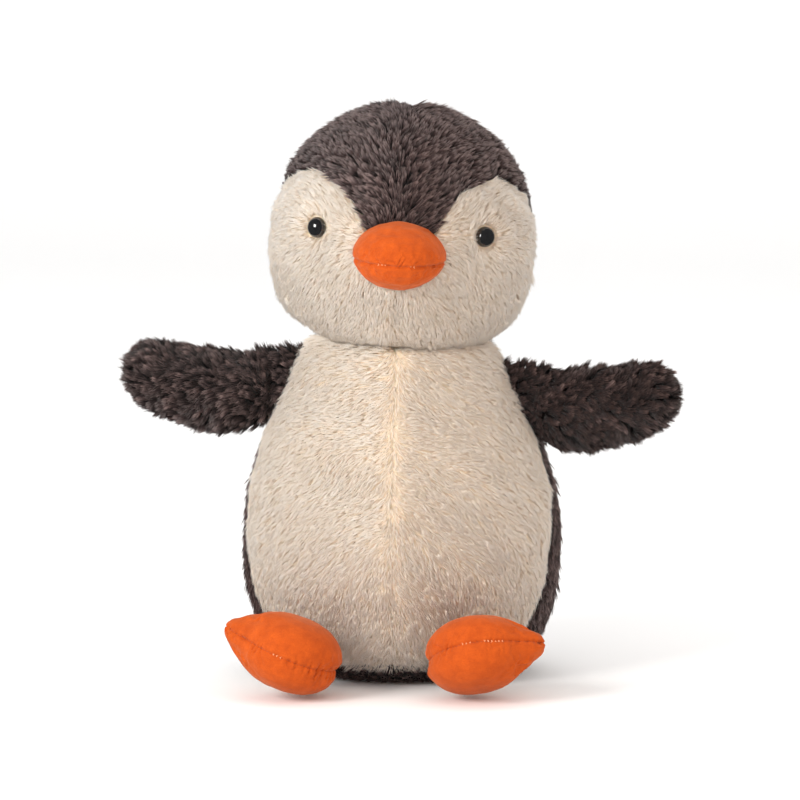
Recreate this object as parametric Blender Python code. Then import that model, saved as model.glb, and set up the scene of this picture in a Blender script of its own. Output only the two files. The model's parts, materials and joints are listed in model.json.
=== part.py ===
"""Plush penguin, sitting upright: sewn fur panels, suede beak and feet, plastic eyes and stuffing.

Metres, +Z up, the floor at z = 0 and the origin under the middle of the body. The penguin faces -Y,
so its own left side is at +X. Each sewn panel is a closed shell as thick as the backing and its pile.
"""

import math

import bmesh
import bpy
from mathutils import Euler, Matrix, Vector

# ---- Driving dimensions -------------------------------------------------------------------------

GAP = 0.0003
PILE_SHELL = 0.005  # backing cloth and the fur standing on it
WING_SHELL = 0.003
SUEDE_SHELL = 0.0016
HEAD_STUFFING_INSET = 0.0062
BODY_STUFFING_INSET = 0.0085  # larger, because it is measured level and the shoulders slope

# Body: half width at each height. The ends are the flat seat and the neck opening.
BODY_PROFILE = (
    (0.0000, 0.0400),
    (0.0012, 0.0530),
    (0.0050, 0.0635),
    (0.0110, 0.0715),
    (0.0200, 0.0790),
    (0.0350, 0.0860),
    (0.0570, 0.0908),
    (0.0850, 0.0912),
    (0.1100, 0.0884),
    (0.1340, 0.0806),
    (0.1570, 0.0702),
    (0.1750, 0.0625),
    (0.1870, 0.0565),
    (0.1930, 0.0515),
)
BODY_DEPTH_SHARE = 0.845
BELLY_FORWARD = 0.0035
BELLY_HEIGHT = 0.070
BELLY_SPREAD = 0.050
BODY_STEPS = 32
GUSSET_TOP = 0.0130
SIDE_SEAM_Y = -0.0360  # at SIDE_SEAM_Z; the seam leans back towards the neck
SIDE_SEAM_Z = 0.0300
SIDE_SEAM_LEAN_DEG = 15.0
BODY_STUFFING_BELOW_NECK = 0.0040
LEAN_DEG = 3.0  # the shoulders and the head lean to the penguin's left
LEAN_FROM = 0.105
LEAN_TO = 0.185

# Head, before its lean: a soft ellipsoid, open at the neck.
NECK_PIVOT = Vector((-0.0025, 0.0, 0.1985))
HEAD_CENTRE_Z = 0.2500
HEAD_HALF_WIDTH = 0.0755
HEAD_HALF_DEPTH = 0.0690
HEAD_UP = 0.0780
HEAD_DOWN = 0.0680
HEAD_UP_POWER = 2.1
HEAD_DOWN_POWER = 2.5
HEAD_RING_Z = 0.2050
HEAD_TURN_DEG = 3.0
HEAD_SEAM_Y = 0.0040
HEAD_SEGMENTS = 32
HEAD_RINGS = 18
HEAD_STUFFING_ABOVE_RING = 0.0030
SOCKET_RADIUS = 0.0355
NECK_RADIUS = 0.0335

# Half of the face outline, seen from the front, as (x, z): from the dark peak over the beak, up
# round the lobe over the eye and down the side to the neck.
FACE_OUTLINE = (
    (0.0100, 0.2510),
    (0.0150, 0.2570),
    (0.0188, 0.2640),
    (0.0222, 0.2712),
    (0.0262, 0.2775),
    (0.0312, 0.2828),
    (0.0370, 0.2872),
    (0.0435, 0.2903),
    (0.0500, 0.2912),
    (0.0560, 0.2890),
    (0.0615, 0.2848),
    (0.0665, 0.2795),
    (0.0712, 0.2730),
    (0.0950, 0.2600),
    (0.0950, 0.1785),
)
FACE_PRISM_DEPTH = 0.1200
FACE_CORNER_GROWTH = 1.4  # a corner moves this much further than the sides it joins

EYE_X = 0.0495
EYE_Z = 0.2615
EYE_RADIUS = 0.0060
EYE_DOME = 0.0052
EYE_SINK = 0.0030
EYE_STEM_RADIUS = 0.0024
EYE_STEM_LENGTH = 0.0090
EYE_TURN_OUT_DEG = 39.0
EYE_TURN_UP = 0.04
EYE_DOME_STEPS = 6
EYE_CUTTER_TOP = 0.0100
WASHER_RADIUS = 0.0075
WASHER_THICKNESS = 0.0012
WASHER_STAND_OFF = 0.0020  # clears the curved inside of the face panel
EYE_POCKET_DEPTH = 0.0140

BEAK_Z = 0.2503
BEAK_HALF_WIDTH = 0.0297
BEAK_UP = 0.0214
BEAK_DOWN = 0.0214
BEAK_REACH = 0.0290
BEAK_ROOT_Y = -0.0600
BEAK_SEAM_DROP = 0.0030
BEAK_ROOT_SHARE = 0.6  # how far the beak's form runs back into the face, as a share of its reach

# Wings: a flat stuffed paddle with a round root, hinged at the shoulder.
WING_ROOT_RADIUS = 0.0245
WING_TIP_RADIUS = 0.0200
WING_LENGTH = 0.0582  # from the shoulder pivot to the tip
WING_HALF_THICKNESS = 0.0110
WING_STUFFING_INSET = 0.0052
WING_TIP_LIFT = 0.0070
WING_THINNING = 0.6  # how fast the wing thins where its outline narrows
WING_SEGMENTS = 16
WING_STATIONS = 14
SHOULDER_REACH = 0.0290  # from the root seam to the shoulder pivot
ROOT_TAB_UP_DEG = 116.0
ROOT_TAB_DOWN_DEG = 222.0
ROOT_TAB_STEPS = 8
ROOT_TAB_CLEARANCE = 0.0008
ROOT_TAB_HALF_THICKNESS = 0.0035

# side: +1 is the penguin's left. seam: middle of the root seam. rise and forward: rest angles.
WINGS = {
    "left": {"side": 1, "seam": (0.0715, -0.0070, 0.1546), "rise": 2.5, "forward": 6.0},
    "right": {"side": -1, "seam": (0.0705, -0.0070, 0.1617), "rise": 4.5, "forward": 6.0},
}
ROOT_SLOPE_DEG = 24.0  # the root seam leans out downwards with the flank

# Feet: puffy pear-shaped pads, hinged at the heel, each drawn out to a tip at its outer side.
FOOT_HEEL = 0.0140
FOOT_LENGTH = 0.0480
FOOT_HALF_WIDTH = 0.0275
FOOT_HALF_THICKNESS = 0.0235
FOOT_FULLNESS = 0.86  # under 1 makes the pad's section fuller than an ellipse
FOOT_TIP = 0.0170
FOOT_TIP_DEG = 30.0  # from the outer side towards the toes
FOOT_TIP_SHARPNESS = 5.0
FOOT_STUFFING_TIP_SHARE = 0.45
FOOT_SEGMENTS = 24
FOOT_RINGS = 12
FOOT_FLOOR_GAP = 0.0005
FOOT_STUFFING_GAP = 0.0016
# roll lifts the outer edge.
FEET = {
    "left": {"side": 1, "heel": (0.0410, -0.0840), "turn_out": 30.0, "toe_up": 26.0, "roll": -4.0},
    "right": {"side": -1, "heel": (0.0450, -0.0840), "turn_out": 32.0, "toe_up": 13.0, "roll": 18.0},
}

BAG_HALF_WIDTH = 0.0520
BAG_HALF_DEPTH = 0.0440
BAG_HEIGHT = 0.0340
BAG_FLOOR_Z = 0.0100
BAG_SHELL = 0.0012
PELLET_INSET = 0.0017
PELLET_TOP_Z = 0.0360

LABEL_WIDTH = 0.0220
LABEL_LENGTH = 0.0300
LABEL_THICKNESS = 0.0008
LABEL_ANGLE_DEG = 62.0
LABEL_Z = 0.0300
LABEL_FLARE = 0.30
LABEL_DROP = 0.80

COLOURS = {
    "dark_fur": ((0.058, 0.045, 0.043), 0.95),
    "cream_fur": ((0.80, 0.70, 0.58), 0.95),
    "orange_suede": ((0.76, 0.15, 0.02), 0.85),
    "eye_plastic": ((0.006, 0.006, 0.007), 0.08),
    "washer_plastic": ((0.80, 0.80, 0.78), 0.45),
    "stuffing": ((0.85, 0.85, 0.84), 0.95),
    "lining": ((0.70, 0.68, 0.64), 0.90),
    "pellets": ((0.75, 0.76, 0.78), 0.50),
    "label_ribbon": ((0.85, 0.85, 0.84), 0.60),
}


# ---- Scene and mesh helpers ---------------------------------------------------------------------


def clear_scene():
    for obj in list(bpy.data.objects):
        bpy.data.objects.remove(obj, do_unlink=True)


def new_collection(name):
    collection = bpy.data.collections.new(name)
    bpy.context.scene.collection.children.link(collection)
    return collection


def make_materials():
    made = {}
    for name, (colour, roughness) in COLOURS.items():
        material = bpy.data.materials.new(name)
        material.use_nodes = True
        shader = material.node_tree.nodes["Principled BSDF"]
        shader.inputs["Base Color"].default_value = (*colour, 1.0)
        shader.inputs["Roughness"].default_value = roughness
        shader.inputs["Metallic"].default_value = 0.0
        material.diffuse_color = (*colour, 1.0)
        made[name] = material
    return made


def add_object(name, bm, collection, parent=None, material=None):
    """An object from a bmesh. With a parent, the mesh is in the parent's own frame."""
    mesh = bpy.data.meshes.new(name)
    bm.to_mesh(mesh)
    bm.free()
    obj = bpy.data.objects.new(name, mesh)
    collection.objects.link(obj)
    obj.parent = parent
    if material:
        mesh.materials.append(material)
        mesh.shade_smooth()
        mesh.set_sharp_from_angle(angle=math.radians(50))
    return obj


def add_cutter(name, bm, collection, parent=None):
    cutter = add_object(name, bm, collection, parent)
    cutter.hide_render = True
    cutter.display_type = "WIRE"
    return cutter


def add_pivot(name, location, rotation, collection):
    pivot = bpy.data.objects.new(name, None)
    pivot.empty_display_size = 0.02
    pivot.location = location
    pivot.rotation_euler = rotation
    collection.objects.link(pivot)
    return pivot


def all_of(bm):
    return bm.verts[:] + bm.edges[:] + bm.faces[:]


def keep_side(bm, point, normal):
    """Keeps what lies on the side that the normal points to."""
    bmesh.ops.bisect_plane(
        bm, geom=all_of(bm), plane_co=point, plane_no=normal, clear_inner=True
    )


def face_outwards(bm):
    """Points every face of a closed mesh outwards."""
    bmesh.ops.recalc_face_normals(bm, faces=bm.faces[:])
    if bm.calc_volume(signed=True) < 0.0:
        bmesh.ops.reverse_faces(bm, faces=bm.faces[:])


def cap_holes(bm):
    rims = [edge for edge in bm.edges if edge.is_boundary]
    bmesh.ops.holes_fill(bm, edges=rims, sides=0)
    face_outwards(bm)


def unit_sphere(segments, rings, poles="Z"):
    bm = bmesh.new()
    bmesh.ops.create_uvsphere(bm, u_segments=segments, v_segments=rings, radius=1.0)
    if poles == "X":
        for vert in bm.verts:
            vert.co = Vector((vert.co.z, vert.co.y, -vert.co.x))
    return bm


def mapped_sphere(place, segments, rings, poles="Z", mirrored=False):
    bm = unit_sphere(segments, rings, poles)
    for vert in bm.verts:
        vert.co = place(vert.co)
    if mirrored:
        bmesh.ops.reverse_faces(bm, faces=bm.faces[:])
    return bm


def turned_form(profile, steps):
    """A form of revolution about Z from (radius, height) points."""
    bm = bmesh.new()
    verts = [bm.verts.new((radius, 0.0, height)) for radius, height in profile]
    edges = [bm.edges.new(pair) for pair in zip(verts, verts[1:])]
    bmesh.ops.spin(
        bm,
        geom=verts + edges,
        cent=(0.0, 0.0, 0.0),
        axis=(0.0, 0.0, 1.0),
        angle=math.tau,
        steps=steps,
        use_merge=True,
    )
    bmesh.ops.remove_doubles(bm, verts=bm.verts[:], dist=1e-7)
    bmesh.ops.recalc_face_normals(bm, faces=bm.faces[:])
    return bm


def make_shell(bm, thickness):
    """Gives a surface a wall of this thickness, inwards, with rims at its openings."""
    bm.normal_update()
    bmesh.ops.solidify(bm, geom=bm.faces[:], thickness=thickness)


def slice_shell(bm, point, normal):
    """Keeps one side of a shell and closes the strips of wall that the plane laid open."""
    keep_side(bm, point, normal)
    rims = [edge for edge in bm.edges if edge.is_boundary]
    bmesh.ops.holes_fill(bm, edges=rims, sides=0)


def slice_ring(bm, point, normal):
    """As slice_shell, where the wall is laid open as one whole ring."""
    keep_side(bm, point, normal)
    rims = [edge for edge in bm.edges if edge.is_boundary]
    bmesh.ops.bridge_loops(bm, edges=rims)


def cut(obj, cutter, operation="DIFFERENCE"):
    boolean = obj.modifiers.new(cutter.name, "BOOLEAN")
    boolean.operation = operation
    boolean.object = cutter
    boolean.solver = "EXACT"


def smooth_step(value, start, end):
    share = min(max((value - start) / (end - start), 0.0), 1.0)
    return share * share * (3.0 - 2.0 * share)


# ---- Body ---------------------------------------------------------------------------------------


def lean(point):
    """Tips level lines of the upper body towards the penguin's left."""
    share = smooth_step(point.z, LEAN_FROM, LEAN_TO)
    drop = math.tan(math.radians(LEAN_DEG)) * share * point.x
    return Vector((point.x, point.y, point.z - drop))


def body_point(point):
    """A point of the round body form, made oval, with its belly forward."""
    belly = math.exp(-(((point.z - BELLY_HEIGHT) / BELLY_SPREAD) ** 2))
    forward = BELLY_FORWARD * belly
    return lean(Vector((point.x, point.y * BODY_DEPTH_SHARE - forward, point.z)))


def body_form(inset=0.0):
    """The body's surface from the middle of the seat to the neck opening."""
    rings = [(radius - inset, max(height, inset)) for height, radius in BODY_PROFILE]
    bm = turned_form([(0.0, inset)] + rings, BODY_STEPS)
    for vert in bm.verts:
        vert.co = body_point(vert.co)
    bmesh.ops.recalc_face_normals(bm, faces=bm.faces[:])
    return bm


def body_panel(name, side, front, kit):
    bm = body_form()
    make_shell(bm, PILE_SHELL)
    slice_ring(bm, (0, 0, GUSSET_TOP), (0, 0, 1))
    slice_shell(bm, (side * GAP / 2, 0, 0), (side, 0, 0))
    facing = -1 if front else 1
    lean_back = math.radians(SIDE_SEAM_LEAN_DEG)
    normal = Vector((0, math.cos(lean_back), -math.sin(lean_back))) * facing
    seam = Vector((0, SIDE_SEAM_Y, SIDE_SEAM_Z))
    slice_shell(bm, seam + normal * GAP / 2, normal)
    face_outwards(bm)
    colour = "cream_fur" if front else "dark_fur"
    add_object(name, bm, kit["parts"], None, kit["materials"][colour])


def add_gusset(kit):
    bm = body_form()
    make_shell(bm, PILE_SHELL)
    slice_ring(bm, (0, 0, GUSSET_TOP - GAP), (0, 0, -1))
    face_outwards(bm)
    add_object("base_gusset", bm, kit["parts"], None, kit["materials"]["dark_fur"])


def socket_ball(name, radius, collection, parent=None):
    bm = unit_sphere(24, 12)
    centre = Vector() if parent else NECK_PIVOT
    for vert in bm.verts:
        vert.co = centre + vert.co * radius
    return add_cutter(name, bm, collection, parent)


def add_bean_bag(kit):
    """An inner pouch of plastic pellets, which weighs the seat down."""

    def pouch(inset):
        def place(unit):
            return Vector(
                (
                    unit.x * (BAG_HALF_WIDTH - inset),
                    unit.y * (BAG_HALF_DEPTH - inset),
                    BAG_FLOOR_Z + BAG_HEIGHT + unit.z * (BAG_HEIGHT - inset),
                )
            )

        return place

    bm = mapped_sphere(pouch(0.0), 20, 12)
    make_shell(bm, BAG_SHELL)
    slice_ring(bm, (0, 0, BAG_FLOOR_Z + BAG_HEIGHT), (0, 0, -1))
    face_outwards(bm)
    add_object("bean_bag", bm, kit["parts"], None, kit["materials"]["lining"])

    bm = mapped_sphere(pouch(PELLET_INSET), 20, 12)
    keep_side(bm, (0, 0, PELLET_TOP_Z), (0, 0, -1))
    cap_holes(bm)
    add_object("bean_pellets", bm, kit["parts"], None, kit["materials"]["pellets"])


def add_body_stuffing(kit):
    bm = body_form(BODY_STUFFING_INSET)
    keep_side(bm, (0, 0, PELLET_TOP_Z + BAG_FLOOR_Z), (0, 0, 1))
    keep_side(bm, (0, 0, BODY_PROFILE[-1][0] - BODY_STUFFING_BELOW_NECK), (0, 0, -1))
    cap_holes(bm)
    stuffing = add_object("body_stuffing", bm, kit["parts"], None, kit["materials"]["stuffing"])
    cut(stuffing, socket_ball("body_socket", SOCKET_RADIUS, kit["cutters"]))


def body_half_width(z):
    """The body's half width at this height, between the profile's points."""
    for (low, near), (high, far) in zip(BODY_PROFILE, BODY_PROFILE[1:]):
        if low <= z <= high:
            return near + (far - near) * (z - low) / (high - low)
    return 0.0


def add_label(kit):
    """A blank ribbon sewn into the back, low on one side."""
    angle = math.radians(LABEL_ANGLE_DEG)
    outward = Vector((math.cos(angle), math.sin(angle), 0.0))
    across = Vector((-outward.y, outward.x, 0.0))
    half_width = body_half_width(LABEL_Z)
    radius = 1.0 / math.hypot(
        outward.x / half_width, outward.y / (half_width * BODY_DEPTH_SHARE)
    )
    start = outward * (radius + GAP * 2)
    bm = bmesh.new()
    bmesh.ops.create_cube(bm, size=1.0)
    for vert in bm.verts:
        flat = vert.co.copy()
        reach = (flat.z + 0.5) * LABEL_LENGTH
        vert.co = (
            start
            + across * (flat.x * LABEL_WIDTH)
            + outward * (reach * LABEL_FLARE + (flat.y + 0.5) * LABEL_THICKNESS)
            + Vector((0, 0, LABEL_Z - reach * LABEL_DROP))
        )
    face_outwards(bm)
    add_object("care_label", bm, kit["parts"], None, kit["materials"]["label_ribbon"])


def build_body(kit):
    for side_name, side in (("left", 1), ("right", -1)):
        body_panel("tummy_" + side_name, side, True, kit)
        body_panel("back_" + side_name, side, False, kit)
    add_gusset(kit)
    add_body_stuffing(kit)
    add_bean_bag(kit)
    add_label(kit)


# ---- Head ---------------------------------------------------------------------------------------


def head_place(inset=0.0):
    """Maps a unit sphere to the head, in the frame of the neck pivot."""

    def place(unit):
        level = math.hypot(unit.x, unit.y)
        up = unit.z >= 0.0
        power = 2.0 / (HEAD_UP_POWER if up else HEAD_DOWN_POWER)
        height = (HEAD_UP if up else HEAD_DOWN) - inset
        spread = level**power / level if level > 1e-9 else 0.0
        rise = math.copysign(abs(unit.z) ** power, unit.z) * height
        return Vector(
            (
                unit.x * spread * (HEAD_HALF_WIDTH - inset),
                unit.y * spread * (HEAD_HALF_DEPTH - inset),
                HEAD_CENTRE_Z - NECK_PIVOT.z + rise,
            )
        )

    return place


def head_height(z):
    return z - NECK_PIVOT.z


def front_of_head(x, z):
    """The y of the head's front surface over (x, z), for z above the neck."""
    up = z >= HEAD_CENTRE_Z
    power = HEAD_UP_POWER if up else HEAD_DOWN_POWER
    share = abs(z - HEAD_CENTRE_Z) / (HEAD_UP if up else HEAD_DOWN)
    level = (1.0 - share**power) ** (1.0 / power)
    across = x / (HEAD_HALF_WIDTH * level)
    return -HEAD_HALF_DEPTH * level * math.sqrt(1.0 - across * across)


def face_outline():
    """The closed front outline of the pale face, as (x, z) points."""
    other = [(-x, z) for x, z in reversed(FACE_OUTLINE)]
    return list(FACE_OUTLINE) + other


def face_prism(name, grow, kit, pivot):
    """The outline drawn out along Y, from in front of the head to the side seam."""
    bm = bmesh.new()
    back = HEAD_SEAM_Y + grow
    verts = [bm.verts.new((x, back, head_height(z))) for x, z in face_outline()]
    face = bm.faces.new(verts)
    drawn = bmesh.ops.extrude_face_region(bm, geom=[face])
    moved = [item for item in drawn["geom"] if isinstance(item, bmesh.types.BMVert)]
    bmesh.ops.translate(bm, verts=moved, vec=(0.0, -FACE_PRISM_DEPTH, 0.0))
    bmesh.ops.recalc_face_normals(bm, faces=bm.faces[:])
    if grow:
        for vert in bm.verts:
            normal = vert.normal
            vert.co.x += normal.x * grow * FACE_CORNER_GROWTH
            vert.co.z += normal.z * grow * FACE_CORNER_GROWTH
    return add_cutter(name, bm, kit["cutters"], pivot)


def head_half(side):
    bm = mapped_sphere(head_place(), HEAD_SEGMENTS, HEAD_RINGS)
    keep_side(bm, (0, 0, head_height(HEAD_RING_Z)), (0, 0, 1))
    make_shell(bm, PILE_SHELL)
    slice_shell(bm, (side * GAP / 2, 0, 0), (side, 0, 0))
    face_outwards(bm)
    return bm


def eye_axis(side):
    angle = math.radians(EYE_TURN_OUT_DEG)
    return Vector((side * math.sin(angle), -math.cos(angle), EYE_TURN_UP)).normalized()


def eye_turned(profile, side):
    """A form turned about the eye's axis. Height 0 is the fur surface, outwards is positive."""
    bm = turned_form(profile, 16)
    place = Vector((side * EYE_X, front_of_head(EYE_X, EYE_Z), head_height(EYE_Z)))
    turn = Vector((0, 0, 1)).rotation_difference(eye_axis(side)).to_matrix()
    for vert in bm.verts:
        vert.co = place + turn @ vert.co
    bmesh.ops.recalc_face_normals(bm, faces=bm.faces[:])
    return bm


def eye_profile():
    """Dome, flat back and stem, from the top of the dome down."""
    points = []
    for step in range(EYE_DOME_STEPS + 1):
        angle = math.pi / 2 * (1.0 - step / EYE_DOME_STEPS)
        radius = EYE_RADIUS * math.cos(angle) if step else 0.0
        points.append((radius, EYE_DOME * math.sin(angle) - EYE_SINK))
    points.append((EYE_STEM_RADIUS, -EYE_SINK))
    points.append((EYE_STEM_RADIUS, -EYE_SINK - EYE_STEM_LENGTH))
    points.append((0.0, -EYE_SINK - EYE_STEM_LENGTH))
    return points


def tube_profile(inner, outer, low, high):
    return [(outer, high), (outer, low), (inner, low), (inner, high), (outer, high)]


def solid_profile(radius, low, high):
    return [(0.0, high), (radius, high), (radius, low), (0.0, low)]


def add_eye(side_name, side, kit, pivot):
    parts, cutters = kit["parts"], kit["cutters"]
    seat = -EYE_SINK - GAP
    bm = eye_turned(eye_profile(), side)
    add_object("eye_" + side_name, bm, parts, pivot, kit["materials"]["eye_plastic"])

    washer_top = -PILE_SHELL - WASHER_STAND_OFF
    ring = tube_profile(
        EYE_STEM_RADIUS + GAP, WASHER_RADIUS, washer_top - WASHER_THICKNESS, washer_top
    )
    bm = eye_turned(ring, side)
    name = "eye_washer_" + side_name
    add_object(name, bm, parts, pivot, kit["materials"]["washer_plastic"])

    recess = [
        (0.0, EYE_CUTTER_TOP),
        (EYE_RADIUS + GAP, EYE_CUTTER_TOP),
        (EYE_RADIUS + GAP, seat),
        (EYE_STEM_RADIUS + GAP, seat),
        (EYE_STEM_RADIUS + GAP, -EYE_POCKET_DEPTH),
        (0.0, -EYE_POCKET_DEPTH),
    ]
    hole = add_cutter("eye_hole_" + side_name, eye_turned(recess, side), cutters, pivot)
    pocket_shape = solid_profile(WASHER_RADIUS + GAP * 2, -EYE_POCKET_DEPTH, EYE_CUTTER_TOP)
    pocket = add_cutter("eye_pocket_" + side_name, eye_turned(pocket_shape, side), cutters, pivot)
    return hole, pocket


def beak_place(inset=0.0):
    """A pointed pillow that stands out of the face, in the frame of the neck pivot."""

    def place(unit):
        up = unit.z >= 0.0
        height = (BEAK_UP if up else BEAK_DOWN) - inset
        reach = BEAK_REACH + HEAD_HALF_DEPTH + BEAK_ROOT_Y - inset
        forward = max(-unit.y, -BEAK_ROOT_SHARE)
        point_y = BEAK_ROOT_Y - forward * reach
        return Vector(
            (
                unit.x * (BEAK_HALF_WIDTH - inset),
                point_y,
                head_height(BEAK_Z) + unit.z * height,
            )
        )

    return place


def add_beak(kit, pivot):
    parts = kit["parts"]
    suede = kit["materials"]["orange_suede"]
    form = mapped_sphere(head_place(-GAP), HEAD_SEGMENTS, HEAD_RINGS)
    face_form = add_cutter("head_form", form, kit["cutters"], pivot)
    seam_z = head_height(BEAK_Z - BEAK_SEAM_DROP)
    for name, facing in (("beak_upper", 1), ("beak_lower", -1)):
        bm = mapped_sphere(beak_place(), 20, 12)
        make_shell(bm, SUEDE_SHELL)
        slice_ring(bm, (0, 0, seam_z + facing * GAP / 2), (0, 0, facing))
        face_outwards(bm)
        half = add_object(name, bm, parts, pivot, suede)
        cut(half, face_form)
    bm = mapped_sphere(beak_place(SUEDE_SHELL + GAP * 2), 16, 10)
    stuffing = add_object("beak_stuffing", bm, parts, pivot, kit["materials"]["stuffing"])
    cut(stuffing, face_form)


def build_head(kit):
    roll = math.radians(LEAN_DEG)
    turn = math.radians(HEAD_TURN_DEG)
    pivot = add_pivot("head_pivot", NECK_PIVOT, (0.0, roll, turn), kit["parts"])
    face_cut = face_prism("face_prism", 0.0, kit, pivot)
    crown_cut = face_prism("face_prism_grown", GAP, kit, pivot)
    pockets = []
    for side_name, side in (("left", 1), ("right", -1)):
        hole, pocket = add_eye(side_name, side, kit, pivot)
        pockets.append(pocket)
        name = "head_crown_" + side_name
        crown = add_object(name, head_half(side), kit["parts"], pivot, kit["materials"]["dark_fur"])
        cut(crown, crown_cut)
        name = "face_" + side_name
        face = add_object(name, head_half(side), kit["parts"], pivot, kit["materials"]["cream_fur"])
        cut(face, face_cut, "INTERSECT")
        cut(face, hole)

    bm = mapped_sphere(head_place(HEAD_STUFFING_INSET), 24, 12)
    keep_side(bm, (0, 0, head_height(HEAD_RING_Z + HEAD_STUFFING_ABOVE_RING)), (0, 0, 1))
    cap_holes(bm)
    stuffing = add_object("head_stuffing", bm, kit["parts"], pivot, kit["materials"]["stuffing"])
    cut(stuffing, socket_ball("head_socket", SOCKET_RADIUS, kit["cutters"], pivot))
    for pocket in pockets:
        cut(stuffing, pocket)
    add_beak(kit, pivot)


def build_neck(kit):
    """The ball of stuffing that joins the head to the body."""
    pivot = add_pivot("neck_pivot", NECK_PIVOT, (0.0, 0.0, 0.0), kit["parts"])
    bm = mapped_sphere(lambda unit: unit * NECK_RADIUS, 24, 12)
    add_object("neck_stuffing", bm, kit["parts"], pivot, kit["materials"]["stuffing"])


# ---- Wings --------------------------------------------------------------------------------------


def wing_half_height(u):
    """Half the wing's height at u from the shoulder pivot, outwards."""
    tip_centre = WING_LENGTH - WING_TIP_RADIUS
    if u <= 0.0:
        return math.sqrt(max(WING_ROOT_RADIUS**2 - u * u, 0.0))
    if u <= tip_centre:
        share = smooth_step(u, 0.0, tip_centre)
        return WING_ROOT_RADIUS + (WING_TIP_RADIUS - WING_ROOT_RADIUS) * share
    return math.sqrt(max(WING_TIP_RADIUS**2 - (u - tip_centre) ** 2, 0.0))


def wing_place(side, inset=0.0):
    """Maps a unit sphere with its poles on X to the wing, in the shoulder pivot's frame."""
    middle = (WING_LENGTH - WING_ROOT_RADIUS) / 2
    reach = (WING_LENGTH + WING_ROOT_RADIUS) / 2

    def place(unit):
        level = math.hypot(unit.y, unit.z)
        u = middle + reach * unit.x
        half_height = wing_half_height(u)
        half_thickness = WING_HALF_THICKNESS * (half_height / WING_ROOT_RADIUS) ** WING_THINNING
        slim = (WING_HALF_THICKNESS - inset) / WING_HALF_THICKNESS
        small = (WING_ROOT_RADIUS - inset) / WING_ROOT_RADIUS
        lift = WING_TIP_LIFT * smooth_step(u, 0.0, WING_LENGTH) ** 2
        across = unit.z / level if level > 1e-9 else 0.0
        thick = unit.y / level if level > 1e-9 else 0.0
        return Vector(
            (
                side * (middle + (u - middle) * (reach - inset) / reach),
                thick * half_thickness * slim,
                lift + across * half_height * small,
            )
        )

    return place


def add_wing_root(name, side, parent, kit):
    """The stretch of wing at the seam: thin along the seam, with a hollow the wing turns in."""
    hollow = WING_ROOT_RADIUS + ROOT_TAB_CLEARANCE
    up, down = math.radians(ROOT_TAB_UP_DEG), math.radians(ROOT_TAB_DOWN_DEG)
    arc = []
    for step in range(ROOT_TAB_STEPS + 1):
        angle = up + (down - up) * step / ROOT_TAB_STEPS
        arc.append((hollow * math.cos(angle), hollow * math.sin(angle)))
    seam_u = -(SHOULDER_REACH - GAP * 3)
    slope = math.tan(math.radians(ROOT_SLOPE_DEG))
    bm = bmesh.new()
    sections = []
    for u, w in arc:
        corners = (
            (u, -ROOT_TAB_HALF_THICKNESS),
            (u, ROOT_TAB_HALF_THICKNESS),
            (seam_u - w * slope, GAP),
            (seam_u - w * slope, -GAP),
        )
        sections.append([bm.verts.new((side * along, thick, w)) for along, thick in corners])
    for near, far in zip(sections, sections[1:]):
        for index in range(4):
            after = (index + 1) % 4
            bm.faces.new((near[index], near[after], far[after], far[index]))
    bm.faces.new(sections[0])
    bm.faces.new(sections[-1])
    face_outwards(bm)
    add_object(name, bm, kit["parts"], parent, kit["materials"]["dark_fur"])


def build_wing(side_name, spec, kit):
    side = spec["side"]
    fur = kit["materials"]["dark_fur"]
    seam = Vector((side * spec["seam"][0], spec["seam"][1], spec["seam"][2]))
    rotation = (
        0.0,
        -side * math.radians(spec["rise"]),
        -side * math.radians(spec["forward"]),
    )
    name = side_name + "_shoulder_pivot"
    pivot = add_pivot(name, seam, rotation, kit["parts"])
    outward = pivot.rotation_euler.to_matrix() @ Vector((side, 0, 0))
    pivot.location = seam + outward * SHOULDER_REACH
    for panel, facing in (("front", -1), ("back", 1)):
        bm = mapped_sphere(
            wing_place(side), WING_SEGMENTS, WING_STATIONS, "X", mirrored=side < 0
        )
        make_shell(bm, WING_SHELL)
        slice_ring(bm, (0, facing * GAP / 2, 0), (0, facing, 0))
        face_outwards(bm)
        add_object(f"wing_{side_name}_{panel}", bm, kit["parts"], pivot, fur)
    bm = mapped_sphere(wing_place(side, WING_STUFFING_INSET), 12, 10, "X", mirrored=side < 0)
    name = f"wing_{side_name}_stuffing"
    add_object(name, bm, kit["parts"], pivot, kit["materials"]["stuffing"])
    add_wing_root(f"wing_{side_name}_root", side, pivot, kit)


# ---- Feet ---------------------------------------------------------------------------------------


def foot_place(spec, inset=0.0, tip_share=1.0):
    """Maps a unit sphere to a foot with its tip, in the heel pivot's frame. Toes point to -Y."""
    side = spec["side"]
    half_length = (FOOT_LENGTH + FOOT_HEEL) / 2
    middle = (FOOT_LENGTH - FOOT_HEEL) / 2
    roll = Matrix.Rotation(-math.radians(spec["roll"]), 3, "Y")
    outward = math.radians(FOOT_TIP_DEG)
    tip_way = Vector((math.cos(outward), -math.sin(outward), 0.0))

    def place(unit):
        level = math.hypot(unit.x, unit.y)
        spread = level**FOOT_FULLNESS / level if level > 1e-9 else 0.0
        rise = math.copysign(abs(unit.z) ** FOOT_FULLNESS, unit.z)
        pad = Vector(
            (
                unit.x * spread * (FOOT_HALF_WIDTH - inset),
                unit.y * spread * (half_length - inset) - middle,
                rise * (FOOT_HALF_THICKNESS - inset),
            )
        )
        drawn = max(unit.dot(tip_way), 0.0) ** FOOT_TIP_SHARPNESS
        rolled = roll @ (pad + tip_way * (drawn * FOOT_TIP * tip_share))
        return Vector((side * rolled.x, rolled.y, rolled.z))

    return place


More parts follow.
